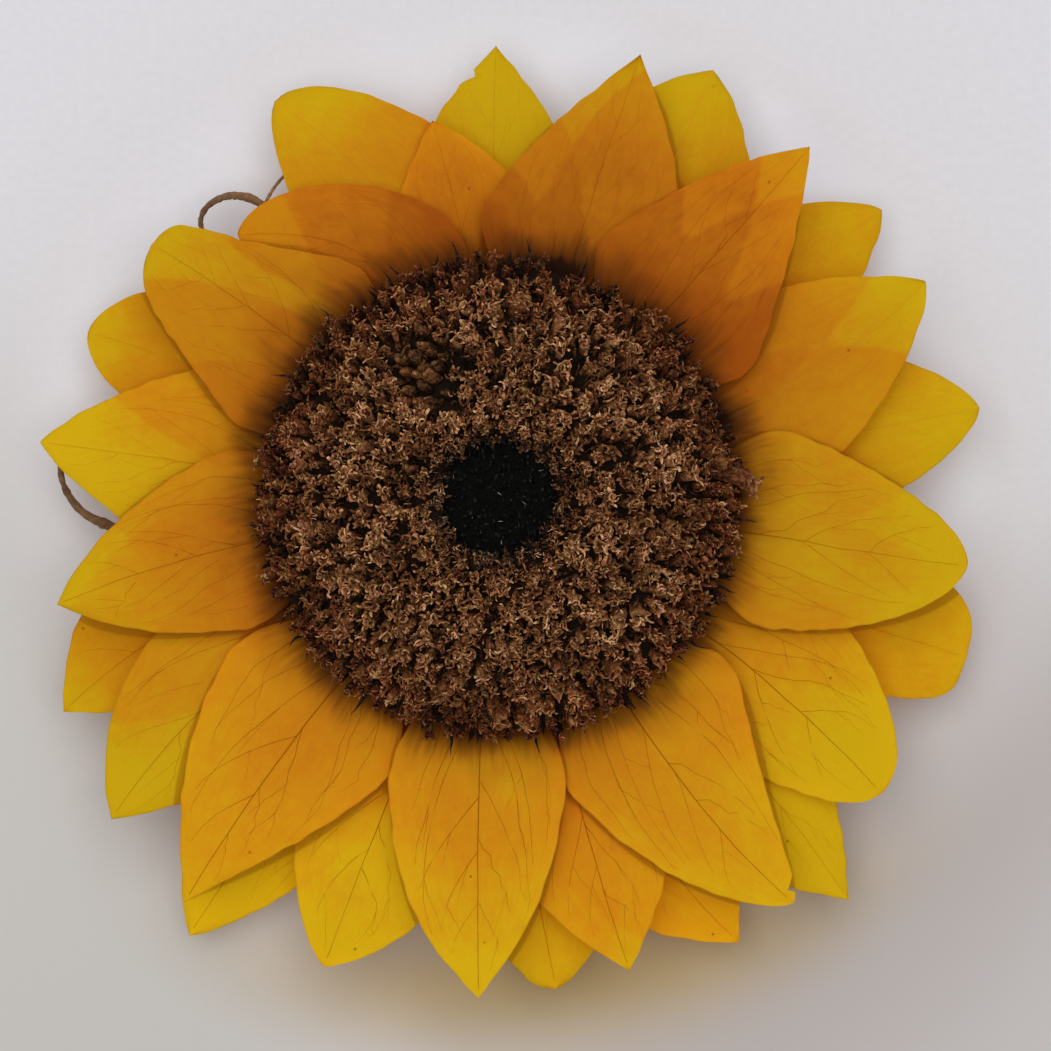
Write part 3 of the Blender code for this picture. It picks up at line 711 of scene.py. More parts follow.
def new_piece(name, points, faces, material, smooth_angle=50, stage=False, **attributes):
    """An object of these points and faces, with a value for each point in each attribute."""
    mesh = bpy.data.meshes.new(name)
    mesh.from_pydata(np.asarray(points, float).tolist(), [], np.asarray(faces).tolist())
    for attribute, values in attributes.items():
        layer = mesh.attributes.new(attribute, "FLOAT", "POINT")
        layer.data.foreach_set("value", np.asarray(values, np.float32))
    mesh.shade_smooth()
    mesh.set_sharp_from_angle(angle=math.radians(smooth_angle))
    mesh.materials.append(material)
    obj = bpy.data.objects.new(name, mesh)
    bpy.context.scene.collection.objects.link(obj)
    if not stage:
        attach(obj, "root")
    return obj


def grid_faces(rows, columns, start=0, round_trip=False):
    """Triangles over a grid of rows by columns of points. With round_trip, the last column joins
    the first."""
    across = columns if round_trip else columns - 1
    i, j = np.meshgrid(np.arange(rows - 1), np.arange(across), indexing="ij")
    a = i * columns + j
    b = i * columns + (j + 1) % columns
    c, d = a + columns, b + columns
    return start + np.concatenate(
        [np.stack([a, b, d], -1).reshape(-1, 3), np.stack([a, d, c], -1).reshape(-1, 3)]
    )


class Strands:
    """Many tapered strands gathered into one mesh."""

    def __init__(self):
        self.points, self.faces, self.values, self.count = [], [], {}, 0

    def add(self, path, widths, depths, wide_way, sides, crumple=None, **values):
        """A closed strand along the path. wide_way is the direction that its width runs in, one
        for all of it or one for each point. crumple holds a factor for each corner's distance
        from the path."""
        path = np.asarray(path, float)
        ahead = unit(np.gradient(path, axis=0))
        wide_way = np.broadcast_to(wide_way, path.shape)
        wide = unit(wide_way - ahead * (ahead * wide_way).sum(-1, keepdims=True))
        up = np.cross(wide, ahead)
        angles = 2 * math.pi * (np.arange(sides) + 0.5) / sides - math.pi / 2
        flat = np.cos(angles)[None, :, None] * np.reshape(widths, (-1, 1, 1)) / 2
        tall = np.sin(angles)[None, :, None] * np.reshape(depths, (-1, 1, 1)) / 2
        offsets = wide[:, None] * flat + up[:, None] * tall
        if crumple is not None:
            offsets = offsets * crumple[..., None]
        self.add_rings(path[:, None] + offsets, **values)

    def add_mesh(self, points, faces, **values):
        """Any closed mesh. values are an array for each point."""
        self.points.append(points)
        self.faces.append(faces + self.count)
        for name, value in values.items():
            self.values.setdefault(name, []).append(value)
        self.count += len(points)

    def add_rings(self, rings, **values):
        """A closed body through rings of points, each the same number, anticlockwise seen from
        its end. values are an array for each ring, or one number."""
        rows, sides, _ = rings.shape
        start = self.count
        ends = np.stack([rings[0].mean(0), rings[-1].mean(0)])
        self.points += [rings.reshape(-1, 3), ends]
        last = start + (rows - 1) * sides
        foot, tip = start + rows * sides, start + rows * sides + 1
        ring = np.arange(sides)
        following = (ring + 1) % sides
        full = np.full(sides, 1)
        self.faces += [
            grid_faces(rows, sides, start, round_trip=True),
            np.stack([start + following, start + ring, foot * full], -1),
            np.stack([last + ring, last + following, tip * full], -1),
        ]
        for name, value in values.items():
            each = np.broadcast_to(np.asarray(value, float), (rows,))
            spread = np.concatenate([np.repeat(each, sides), each[[0, -1]]])
            self.values.setdefault(name, []).append(spread)
        self.count += rows * sides + 2

    def piece(self, name, material, smooth_angle=50):
        values = {key: np.concatenate(parts) for key, parts in self.values.items()}
        points, faces = np.concatenate(self.points), np.concatenate(self.faces)
        return new_piece(name, points, faces, material, smooth_angle, **values)


# Petals

Mood = namedtuple("Mood", "cup phase twist")


def petal_moods():
    """The seeded differences between one petal and the next, as in the solids."""
    draw = Random(7)
    return {
        petal.name: Mood(draw.uniform(-1, 1), draw.random(), draw.uniform(-1, 1))
        for petal in PETALS
    }


MOODS = petal_moods()


def petal_midline(petal, s):
    """(points, directions) of the midline in plan for an array of s from root to tip."""
    outward = heading_vector(petal.heading + petal.turn)
    root = outward * PETAL_ROOT_RADIUS
    tip = heading_vector(petal.heading) * petal.reach * MM
    bend = root + outward * np.linalg.norm(tip - root) / 2
    s = np.asarray(s)[..., None]
    points = root * (1 - s) ** 2 + bend * 2 * s * (1 - s) + tip * s**2
    return points, unit((bend - root) * (1 - s) + (tip - bend) * s)


def petal_half_width(petal, s, past):
    """Half the petal's width at s, on the side past its heading or on the one before it."""
    shoulder = ROOT_SHARE + (1 - ROOT_SHARE) * np.sin(math.pi / 2 * np.minimum(1, s / SHOULDER))
    taper = np.maximum(0, (s - TAPER_START) / (1 - TAPER_START))
    outline = np.maximum(0, 1 - taper**petal.fullness) ** petal.bluntness
    extra = np.where(past, petal.past, petal.before) * np.sin(math.pi * s**SIDE_SKEW)
    extra = extra + np.where(past, petal.near_past, petal.near_before) * (1 - s) ** 2
    return np.maximum((petal.width * shoulder * outline / 2 + extra) * MM, TIP_WIDTH / 2)


class PetalSurface:
    """One petal's middle surface, with the seeded unevenness of its outline and edges. s runs from
    0 at the root to 1 at the tip, and v from -1 to 1 across."""

    def __init__(self, petal):
        self.petal, self.mood = petal, MOODS[petal.name]
        draw = Random("surface " + petal.name)
        self.outline = EdgeWaves(draw, 9.0)
        self.ruffles = EdgeWaves(draw, 14.0)
        self.pleats = [draw.uniform(-0.6, 0.6) for _ in range(3)]
        self.tip_curl = draw.uniform(-0.5, 0.9) * MM

    def torn(self, s, v):
        """How much of the half width is left where this petal is torn."""
        if self.petal.name not in NICKS:
            return 1.0
        depth, deepest, length, place = NICKS[self.petal.name]
        return 1 - depth * smooth(0.2, deepest, -v) * smooth(length, 0.0, abs(s - place))

    def __call__(self, s, v):
        petal, mood = self.petal, self.mood
        middle, along = petal_midline(petal, s)
        reach = s * petal.reach
        wobble = self.outline(reach, v, 0, 1)
        half = petal_half_width(petal, s, v > 0)
        half = (half + OUTLINE_WOBBLE * wobble * smooth(0, 2 * MM, half)) * self.torn(s, v)
        across = np.stack([along[..., 1], -along[..., 0]], -1)
        plan = middle + across * (v * half)[..., None]
        out = np.linalg.norm(plan, axis=-1) - PETAL_ROOT_RADIUS
        level = LOWEST_PETAL + petal.level * (LEVEL_STEP + LEVEL_SLOPE * out)
        cup = CUP_SHARE * mood.cup * (2 * v * v - 1)
        wave = 2 * math.pi * (RIPPLES * s + mood.phase) + RIPPLE_SLANT * v
        sway = cup + RIPPLE_SHARE * np.sin(wave) + TWIST_SHARE * mood.twist * v
        height = level - PETAL_DROOP * out**2 + (SWAY_AT_ROOT + SWAY_GROWTH * out) * sway
        ruffle = self.ruffles(reach, v, 0.55, 1.0)
        height += EDGE_RUFFLE * ruffle * smooth(0.15, 0.4, s)
        for place in self.pleats:
            pleat = np.exp(-(((v - place) / PLEAT_WIDTH) ** 2))
            height -= PLEAT_DEPTH * pleat * smooth(0, 0.2, 1 - s)
        height += self.tip_curl * smooth(0.8, 1.0, s) * TIP_CURL
        return np.concatenate([plan, height[..., None]], -1)


def inside_petal(petal, plan):
    """How far inside a petal's outline the points are, in millimetres, negative outside."""
    s = 1 - (1 - np.linspace(0, 1, 90)) ** 1.5
    middle, along = petal_midline(petal, s)
    away = plan[:, None, :] - middle[None]
    past = away[..., 0] * along[:, 1] - away[..., 1] * along[:, 0] > 0
    half = np.where(past, petal_half_width(petal, s, True), petal_half_width(petal, s, False))
    return (half - np.linalg.norm(away, axis=-1)).max(1) / MM


def petals_beneath(petal, plan):
    """How far inside the nearest two outlines beneath the points are, in millimetres."""
    lower = [inside_petal(other, plan) for other in PETALS if other.level < petal.level]
    far = np.full(len(plan), -9.0)
    depths = np.sort(np.array([far, far, *lower]), axis=0)
    return np.clip(depths[-1], -9, 9), np.clip(depths[-2], -9, 9)


def front_petal_above(petal, plan):
    """How far inside the painted shadow of the nearest front petal the points are, in millimetres."""
    fronts = [p for p in PETALS if "front" in p.name and p.level > petal.level]
    shifted = plan + np.array([0.0, SHADE_SHIFT])
    depths = [inside_petal(front, shifted) for front in fronts]
    return np.clip(np.max([np.full(len(plan), -9.0), *depths], axis=0), -9, 9)


def blade_thickness(s, v, end, middle, edge):
    """A blade's thickness at (s, v), where s ends at end."""
    return edge + (middle - edge) * (1 - v**4) * smooth(end, end - 0.12, s)


def blade_mesh(surface, rows, columns, middle_thickness, edge_thickness):
    """(points, faces, s, v) of a closed blade, thicker in its middle than at its edges. rows and
    columns are the shares of its length and half width that its points stand at."""
    s, v = np.meshgrid(rows, columns, indexing="ij")
    middle = surface(s, v)
    thickness = blade_thickness(s, v, rows[-1], middle_thickness, edge_thickness)
    offset = thickness[..., None] / 2 * UP
    points = np.concatenate([(middle + offset).reshape(-1, 3), (middle - offset).reshape(-1, 3)])
    top = grid_faces(len(rows), len(columns))
    count = s.size
    index = np.arange(count).reshape(s.shape)
    rim = np.concatenate([index[0, :-1], index[:-1, -1], index[-1, :0:-1], index[:0:-1, 0]])
    following = np.roll(rim, -1)
    walls = np.concatenate(
        [
            np.stack([rim, following + count, following], -1),
            np.stack([rim, rim + count, following + count], -1),
        ]
    )
    faces = np.concatenate([top, top[:, ::-1] + count, walls])
    return points, faces, np.tile(s.ravel(), 2), np.tile(v.ravel(), 2)


def kinked(draw, start, end, bow, kink):
    """(s, v) arrays of a vein between two places, bowed, with small bends at its joints."""
    q = np.linspace(0, 1, VEIN_JOINTS)
    s = start[0] + (end[0] - start[0]) * q
    v = start[1] + (end[1] - start[1]) * q**bow
    bends = np.array([draw.gauss(0, kink) for _ in q])
    bends[0] = 0
    return s + 0.4 * bends, v + bends


def in_steps(values):
    """The values at a vein's joints, with steps between them, so that it keeps to the surface."""
    joints = np.arange(VEIN_JOINTS)
    places = np.linspace(0, VEIN_JOINTS - 1, (VEIN_JOINTS - 1) * VEIN_STEPS + 1)
    return np.interp(places, joints, values)


def side_vein(draw, side, start, end, width, forks):
    """A side vein and the finer veins that part from it."""
    s, v = kinked(draw, start, end, draw.uniform(0.85, 1.45), 0.012)
    fade = np.linspace(1, 0.4, VEIN_JOINTS)
    routes = [(s, v, width * fade)]
    for joint in draw.sample((2, 3, 4, 5, 6), forks):
        away = side * draw.choice((-1, 1))
        end = (s[joint] + draw.uniform(0.09, 0.20), v[joint] + away * draw.uniform(0.05, 0.20))
        fork_s, fork_v = kinked(draw, (s[joint], v[joint]), end, 1.0, 0.008)
        routes.append((fork_s, fork_v, width * fade * 0.65))
    return routes


def vein_routes(petal):
    """(s, v, width) arrays of the veins: the midrib, veins that rise beside it from the root and
    run lengthways, and side veins that part from it, some of them with finer forks."""
    draw = Random("veins " + petal.name)
    lean = draw.uniform(-0.06, 0.06)
    s, v = kinked(draw, (0.0, 0.0), (0.97, lean), 1.0, 0.006)
    routes = [(s, v, np.linspace(1.7, 0.7, VEIN_JOINTS))]
    for side in (-1, 1):
        for root_v in (0.14, 0.34, 0.58):
            start = (0.0, side * root_v * draw.uniform(0.8, 1.2))
            reach = draw.uniform(0.70, 0.90) - 0.65 * root_v
            end = (reach, side * draw.uniform(0.72, 0.92))
            width = draw.uniform(0.65, 0.95)
            routes += side_vein(draw, side, start, end, width, draw.choice((0, 1, 1, 2)))
        start_s = draw.uniform(0.16, 0.34)
        while start_s < 0.72:
            start = (start_s, lean * start_s)
            reach = (1.0 - start_s) * draw.uniform(0.46, 0.62)
            end = (start_s + reach, side * draw.uniform(0.55, 0.82))
            width = draw.uniform(0.75, 1.0) - 0.4 * start_s
            routes += side_vein(draw, side, start, end, width, draw.choice((0, 1, 1, 2)))
            start_s += draw.uniform(0.15, 0.27)
    return [(np.clip(s, 0, 0.985), np.clip(v, -0.96, 0.96), width) for s, v, width in routes]


def petal_veins(petal, surface):
    """Strands that stand a little proud of the blade along its veins."""
    veins = Strands()
    thicknesses = PETAL_MIDDLE_THICKNESS, PETAL_EDGE_THICKNESS
    for route in vein_routes(petal):
        s, v, width = (in_steps(values) for values in route)
        raised = blade_thickness(s, v, 1, *thicknesses) / 2 + VEIN_HEIGHT * width / 3
        path = surface(s, v) + UP * raised[:, None]
        across = np.cross(path[1] - path[0], UP)
        veins.add(path, VEIN_WIDTH * width, VEIN_HEIGHT * 2 * width, across, 3, s=s, v=v)
    return veins


def petal_looks(petal, points, s, v):
    """What the petals' paint reads at each point, apart from the veins."""
    x, y = points[:, 0] / MM, points[:, 1] / MM
    radius = np.hypot(x, y)
    dye_and_shade_out = radius - DYE_AND_SHADE_LEAN * y / radius
    # Painted shade: the dark ring reaches further out beside gaps in the florets
    for spot_x, spot_y, spot_radius in BARE_SPOTS:
        away = np.hypot(x - spot_x * 1.04, y - spot_y * 1.04)
        dye_and_shade_out -= GAP_SHADE * np.exp(-((away / spot_radius) ** 2))
    under_1, under_2 = petals_beneath(petal, points[:, :2])
    edge = petal_half_width(petal, s, v > 0) / MM * (1 - abs(v))
    edge = np.minimum(edge, (1 - s) * petal.reach * 0.4 + 0.15) + 0.3 * smooth(0.9, 1, s)
    # Painted shade: towards the top the edge lines and the front petals' shadows fade out
    unlined = smooth(LINED_TO, UNLINED_FROM, y)
    root = ROOT_WARMTH * smooth(60, 42, radius)
    tip = TIP_PALENESS * smooth(0.65, 1.0, s)
    return dict(
        along=s * petal.reach * MM,
        across=v * petal.width * MM / 2,
        under_1=under_1,
        under_2=under_2,
        over=front_petal_above(petal, points[:, :2]) - 0.35 * unlined,
        edge=edge + 0.17 * unlined,
        out=dye_and_shade_out,
        warmth=petal.warmth + root - tip,
        sheer=np.full(len(s), petal.sheer),
        light=np.full(len(s), petal.light),
    )


def make_petal(petal, paint):
    surface = PetalSurface(petal)
    rows = 1 - (1 - np.linspace(0, 1, PETAL_ROWS)) ** 1.35
    columns = np.sin(np.linspace(-1, 1, PETAL_COLUMNS) * 1.25) / math.sin(1.25)
    thicknesses = PETAL_MIDDLE_THICKNESS, PETAL_EDGE_THICKNESS
    blade, faces, s, v = blade_mesh(surface, rows, columns, *thicknesses)
    veins = petal_veins(petal, surface)
    points = np.concatenate([blade, *veins.points])
    faces = np.concatenate([faces, np.concatenate(veins.faces) + len(blade)])
    s = np.concatenate([s, *veins.values["s"]])
    v = np.concatenate([v, *veins.values["v"]])
    looks = petal_looks(petal, points, s, v)
    looks["vein"] = np.where(np.arange(len(points)) < len(blade), 0, petal.veins)
    piece = new_piece(petal.name + "_blade", points, faces, paint, smooth_angle=60, **looks)
    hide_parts(petal.name)


def make_petals():
    paint = petal_paint()
    for petal in PETALS:
        make_petal(petal, paint)


# The disc


def disc_dome(radius):
    """The disc's height between its florets."""
    inside = (CREST_RADIUS - radius) / (CREST_RADIUS - HEART_RADIUS)
    outside = (radius - CREST_RADIUS) / (DISC_RADIUS - CREST_RADIUS)
    if radius < CREST_RADIUS:
        return DISC_CREST - DISC_DIP * inside**2
    return DISC_CREST - (DISC_CREST - DISC_RIM) * min(1.1, outside) ** DISC_FALL


def circle(radius, height, angles):
    """Points round Z. radius is one number, or one for each angle."""
    return np.stack([radius * np.cos(angles), radius * np.sin(angles), 0 * angles + height], -1)


def turned(profile, sides, relief):
    """(points, faces) of a closed body turned about Z. relief(angle, radius) is a share of the
    radius. The profile runs from the axis to the axis, anticlockwise seen along +Y."""
    angles = 2 * math.pi * np.arange(sides) / sides
    rings = [
        circle(radius * (1 + relief(angles, radius)), height, angles)
        for radius, height in profile[1:-1]
    ]
    strand = Strands()
    strand.add_rings(np.array(rings))
    points = np.concatenate(strand.points)
    points[-2] = (0, 0, profile[0][1])
    points[-1] = (0, 0, profile[-1][1])
    return points, np.concatenate(strand.faces)


def make_disc_bed(paint):
    """The chaffy ground that the florets stand in, near black: partly its own dark colour and partly
    painted shade in the gaps between the florets.
    """
    draw = Random(19)
    lumps = [Waves(draw, 0.5), Waves(draw, 0.3)]
    inner = HEART_RADIUS + HEART_GAP
    profile = [(0, DISC_FOOT), (RIM_RADIUS - 0.2 * MM, DISC_FOOT), (BED_RADIUS, DISC_LIP)]
    for step in range(BED_STEPS):
        radius = BED_RADIUS + (inner - BED_RADIUS) * step / BED_STEPS
        profile.append((radius, disc_dome(radius) - 0.2 * MM))
    profile += [(inner, disc_dome(inner) - 0.4 * MM), (inner, HEART_FLOOR), (0, HEART_FLOOR)]
    points, faces = turned(profile, BED_SIDES, lambda angle, radius: 0 * angle)
    radius = np.linalg.norm(points[:, :2], axis=1)
    angle = np.arctan2(points[:, 1], points[:, 0]) * 6
    on_top = smooth(DISC_LIP, DISC_RIM, points[:, 2]) * (radius > inner + 0.5 * MM)
    points[:, 2] += 0.35 * MM * on_top * lumps[0](angle) * lumps[1](radius / (2 * MM))
    # Near black, partly painted shade in the gaps between the florets
    tone = -0.18 + 0.05 * lumps[1](angle)
    looks = dict(tone=tone, young=0 * tone, russet=0 * tone)
    return new_piece("disc_bed", points, faces, paint, **looks)


def spiral_places(inner, outer, spacing):
    """(x, y) of the places of a sunflower's seed spiral between two radii."""
    scale = spacing * 0.94 / math.sqrt(math.pi * 0.866)
    for k in range(int((outer / scale) ** 2) + 1):
        radius = scale * math.sqrt(k + 0.5)
        if inner < radius < outer:
            angle = k * GOLDEN_ANGLE
            yield radius * math.cos(angle), radius * math.sin(angle)


def add_tube(strands, draw, foot, axis, ways, length, girth, tone, **values):
    """A furrowed, crumpled tube: its wall turns over the rim of its mouth and goes down inside."""
    heights = np.array([0, 0.38, 0.72, 0.92, 1.0, 0.95, 0.72]) * length
    radii = np.array([0.30, 0.42, 0.52, 0.47, 0.53, 0.38, 0.14]) * girth
    # Darker at the foot and down inside the mouth: partly the floret's own colour, partly painted shade
    tones = tone + np.array([-0.28, -0.12, 0.05, 0.07, 0.26, 0.0, -0.40])
    turn = draw.uniform(0, 2 * math.pi)
    angles = turn + 2 * math.pi * np.arange(TUBE_SIDES) / TUBE_SIDES
    furrows = np.array([draw.uniform(0.62, 1.22) for _ in angles])
    crumple = furrows * [[draw.uniform(0.78, 1.18) for _ in angles] for _ in radii]
    jags = np.array([draw.gauss(0, 0.26) for _ in angles]) * MM
    lift = heights[:, None] + jags * np.array([0, 0, 0.2, 0.7, 1, 1, 0])[:, None]
    wide, narrow = ways[0], ways[1] * draw.uniform(0.55, 0.95)
    round_way = np.cos(angles)[:, None] * wide + np.sin(angles)[:, None] * narrow
    rings = foot + axis * lift[..., None] + round_way * (radii[:, None] * crumple)[..., None]
    slump = wide * draw.gauss(0, 0.25) * MM
    rings = rings + slump * ((heights / length) ** 2)[:, None, None]
    strands.add_rings(rings, tone=tones, **values)


def add_lobe(strands, draw, start, axis, outward, size, tone, **values):
    """One torn lobe of a floret's mouth: a blunt crumpled ribbon, rolled in or out."""
    side = np.cross(axis, outward)
    pivot = unit(side + axis * draw.gauss(0, 0.45) + outward * draw.gauss(0, 0.2))
    bend = draw.choice((-0.8, 0.5, 1.0, 1.0)) * draw.uniform(0.5, 1.1)
    turns = [0.2 + 0.3 * bend, bend * 0.8, bend, bend * draw.uniform(0.4, 1.4)]
    path = curl(start, axis, pivot, turns, 0.24 * MM * size * draw.uniform(0.6, 1.4))
    widths = np.array([0.50, 0.50, 0.42, 0.36, 0.20]) * MM * size * draw.uniform(0.6, 1.2)
    depths = np.array([0.30, 0.26, 0.24, 0.22, 0.16]) * MM * size
    crumple = np.array([[draw.uniform(0.6, 1.35) for _ in range(3)] for _ in path])
    tones = tone + np.array([0.0, 0.06, 0.16, 0.24, 0.34]) + draw.uniform(-0.16, 0.14)
    strands.add(path, widths, depths, side, 3, crumple, tone=tones, **values)


def add_style(strands, draw, start, axis, outward, size, tone, **values):
    """One branch of a floret's style: a tan curl in the shape of a c or an s, lying over."""
    side = np.cross(axis, outward)
    pivot = unit(axis * draw.choice((-1, 1)) + side * draw.gauss(0, 0.5))
    bend = draw.uniform(0.25, 0.75)
    back = draw.choice((1, 1, -1))
    turns = [0.1, bend * 0.7, bend, bend * back, bend * back, bend * 1.2 * back]
    ahead = unit(axis * draw.uniform(0.15, 0.9) + outward)
    path = curl(start, ahead, pivot, turns, 0.24 * MM * size * draw.uniform(0.7, 1.25))
    thick = np.array([0.26, 0.29, 0.30, 0.29, 0.26, 0.21, 0.12]) * MM * size
    tones = tone + np.linspace(0.12, 0.44, 7) + draw.uniform(-0.14, 0.20)
    strands.add(path, thick * draw.uniform(0.85, 1.15), thick * 0.75, side, 4, tone=tones, **values)


def add_scale(strands, draw, foot, axis, outward, size, tone, **values):
    """A dark pointed scale that stands beside a floret, of those that fill the gaps."""
    start = foot + outward * draw.uniform(0.6, 1.0) * MM * size
    turns = [draw.gauss(0, 0.15), draw.gauss(0, 0.2), draw.gauss(0, 0.25)]
    side = np.cross(axis, outward)
    path = curl(start, axis, side, turns, 0.95 * MM * size * draw.uniform(0.8, 1.15))
    widths = np.array([1.0, 1.1, 0.7, 0.10]) * MM * size
    tones = tone - 0.16 + np.array([-0.1, -0.04, 0.03, 0.15])
    strands.add(path, widths, widths * 0.35, side, 4, tone=tones, **values)


def add_floret(strands, draw, foot, axis, size, tone, **values):
    """A dried floret: a crumpled tube, its lobes and its forked style, and a scale beside it."""
    first, second = cross_ways(axis)
    turn = draw.uniform(0, 2 * math.pi)

    def around(angle):
        return first * math.cos(turn + angle) + second * math.sin(turn + angle)

    length = FLORET_LENGTH * size * draw.uniform(0.80, 1.15)
    girth = FLORET_GIRTH * size * draw.uniform(0.80, 1.12)
    ways = around(0), around(math.pi / 2)
    add_tube(strands, draw, foot, axis, ways, length, girth, tone, **values)
    mouth = foot + axis * length
    for lobe in range(5):
        outward = around(2 * math.pi * (lobe + draw.uniform(-0.4, 0.4)) / 5)
        start = mouth + outward * draw.uniform(0.25, 0.52) * girth - axis * 0.25 * MM
        add_lobe(strands, draw, start, axis, outward, size, tone, **values)
    for branch in range(draw.choice((1, 1, 2, 2))):
        outward = around(math.pi * (branch + draw.uniform(-0.35, 0.35)))
        start = mouth - axis * 0.1 * MM - outward * 0.2 * girth
        add_style(strands, draw, start, axis, outward, size, tone, **values)
    way = unit(axis + first * draw.gauss(0, 0.9) + second * draw.gauss(0, 0.9))
    start = mouth + (first * draw.gauss(0, 1) + second * draw.gauss(0, 1)) * 0.3 * girth
    turns = [draw.uniform(-0.9, 0.9) for _ in range(3)]
    fibre = curl(start - axis * 0.3 * MM, way, cross_ways(way)[0], turns, 0.34 * MM * size)
    thick = np.array([0.15, 0.14, 0.11, 0.05]) * MM
    bright = tone + draw.uniform(0.3, 0.6)
    strands.add(fibre, thick, thick, second, 3, tone=bright, **values)
    for scale in range(2):
        outward = around(math.pi * (scale + draw.uniform(-0.4, 0.4)))
        add_scale(strands, draw, foot, axis, outward, size, tone, **values)


def add_closed_floret(strands, draw, foot, axis, length, girth, tone, **values):
    """A floret that dried before it opened: a plump furrowed bud."""
    first, second = cross_ways(axis)
    shares = np.array([0, 0.25, 0.5, 0.75, 0.92, 1.0])
    bow = first * draw.gauss(0, 0.35) * MM
    path = foot + axis * length * shares[:, None] + bow * (shares**2)[:, None]
    widths = np.array([0.55, 0.83, 1.0, 0.9, 0.55, 0.17]) * girth * draw.uniform(0.9, 1.15)
    tones = tone + np.array([-0.4, -0.2, -0.06, 0.04, 0.10, 0.28])
    furrows = np.array([draw.uniform(0.72, 1.14) for _ in range(BUD_SIDES)])
    crumple = furrows * [[draw.uniform(0.93, 1.06) for _ in furrows] for _ in shares]
    strands.add(path, widths, widths * 0.8, second, BUD_SIDES, crumple, tone=tones, **values)


def is_bare(x, y):
    return any(math.hypot(x / MM - a, y / MM - b) < radius for a, b, radius in BARE_SPOTS)


def ring_at(rings, radius):
    """The ring of florets that holds a radius."""
    return rings[sum(radius > limit for name, limit in FLORET_RINGS[:-1])]


def floret_axis(draw, x, y, drifts):
    """Which way a floret points, and the ways outwards and sideways at its place."""
    radius = math.hypot(x, y)
    outward = np.array([x, y, 0]) / radius
    sideways = np.array([-y, x, 0]) / radius
    drift = np.array([drifts[0](x) * drifts[1](y), drifts[2](x) * drifts[3](y), 0])
    lean = MIDDLE_LEAN + LEAN_GROWTH * (radius / DISC_RADIUS) ** LEAN_CURVE
    lean += draw.gauss(0, LEAN_SCATTER)
    axis = UP * math.cos(lean) + outward * math.sin(lean) + sideways * draw.gauss(0, SIDE_SCATTER)
    return unit(axis + CLUMP_LEAN * drift), outward, sideways


def floret_looks(draw, out):
    """The size, the tone and the hues of a floret that is this many millimetres out."""
    size = SMALLEST_FLORET + (1 - SMALLEST_FLORET) * float(smooth(8.5, 13.5, out))
    size *= draw.uniform(0.85, 1.15) * (1 - RIM_SHRINKING * float(smooth(27, 31, out)))
    tone = FLORET_TONE + draw.uniform(-TONE_SCATTER, TONE_SCATTER)
    tone -= RIM_DARKNESS * float(smooth(24, 31, out))
    tone -= HEART_SIDE_DARKNESS * float(smooth(12.5, 7.0, out))
    young = float(smooth(10.5, 7.5, out)) * draw.uniform(0.2, 0.9)
    return size, tone, dict(young=young, russet=float(smooth(21, 29.5, out)))


def make_florets(paint):
    """All the florets, in four rings that each stay a workable mesh."""
    draw = Random(23)
    rings = [Strands() for _ in FLORET_RINGS]
    drifts = [Waves(draw, CLUMP_PITCH) for _ in range(4)]
    places = [
        *spiral_places(HEART_RADIUS - 0.1 * MM, INNER_EDGE, INNER_SPACING),
        *spiral_places(INNER_EDGE, FLORET_EDGE, FLORET_SPACING),
    ]
    for x, y in places:
        x += draw.uniform(-FLORET_SCATTER, FLORET_SCATTER) * MM
        y += draw.uniform(-FLORET_SCATTER, FLORET_SCATTER) * MM
        radius = math.hypot(x, y)
        if is_bare(x, y):
            continue
        axis, outward, sideways = floret_axis(draw, x, y, drifts)
        size, tone, hues = floret_looks(draw, radius / MM)
        foot = np.array([x, y, disc_dome(radius) - FLORET_SINK + draw.gauss(0, 0.25) * MM])
        strands = ring_at(rings, radius)
        spot_x, spot_y, spot_radius = CLOSED_SPOT
        if math.hypot(x / MM - spot_x, y / MM - spot_y) < spot_radius:
            axis = unit(UP * 0.6 + outward * 0.4 + sideways * 0.35 + 0.3 * axis)
            if draw.random() < NUT_SHARE:
                girth = NUT_GIRTH * draw.uniform(0.7, 1.1)
                dark = tone - NUT_DARKNESS
                add_closed_floret(strands, draw, foot, axis, NUT_LENGTH, girth, dark, **hues)
        elif draw.random() < CLOSED_SHARE and radius > CLOSED_FROM:
            tilted = unit(axis + outward * 0.3)
            length, girth = FLORET_LENGTH * size * 0.9, FLORET_GIRTH * size * 0.7
            add_closed_floret(strands, draw, foot, tilted, length, girth, tone, **hues)
        else:
            add_floret(strands, draw, foot, axis, size, tone, **hues)
    for foot, mouth in FALLEN_FLORETS:
        foot = np.array([*foot, 0]) * MM + UP * disc_dome(math.hypot(*foot) * MM)
        mouth = np.array([*mouth, 0]) * MM + UP * FALLEN_LEVEL
        size = np.linalg.norm(mouth - foot) / FLORET_LENGTH
        axis = unit(mouth - foot)
        add_floret(rings[-1], draw, foot, axis, size, FALLEN_TONE, young=0.0, russet=0.6)
    add_fillers(rings)
    return [ring.piece(name, paint) for ring, (name, limit) in zip(rings, FLORET_RINGS)]


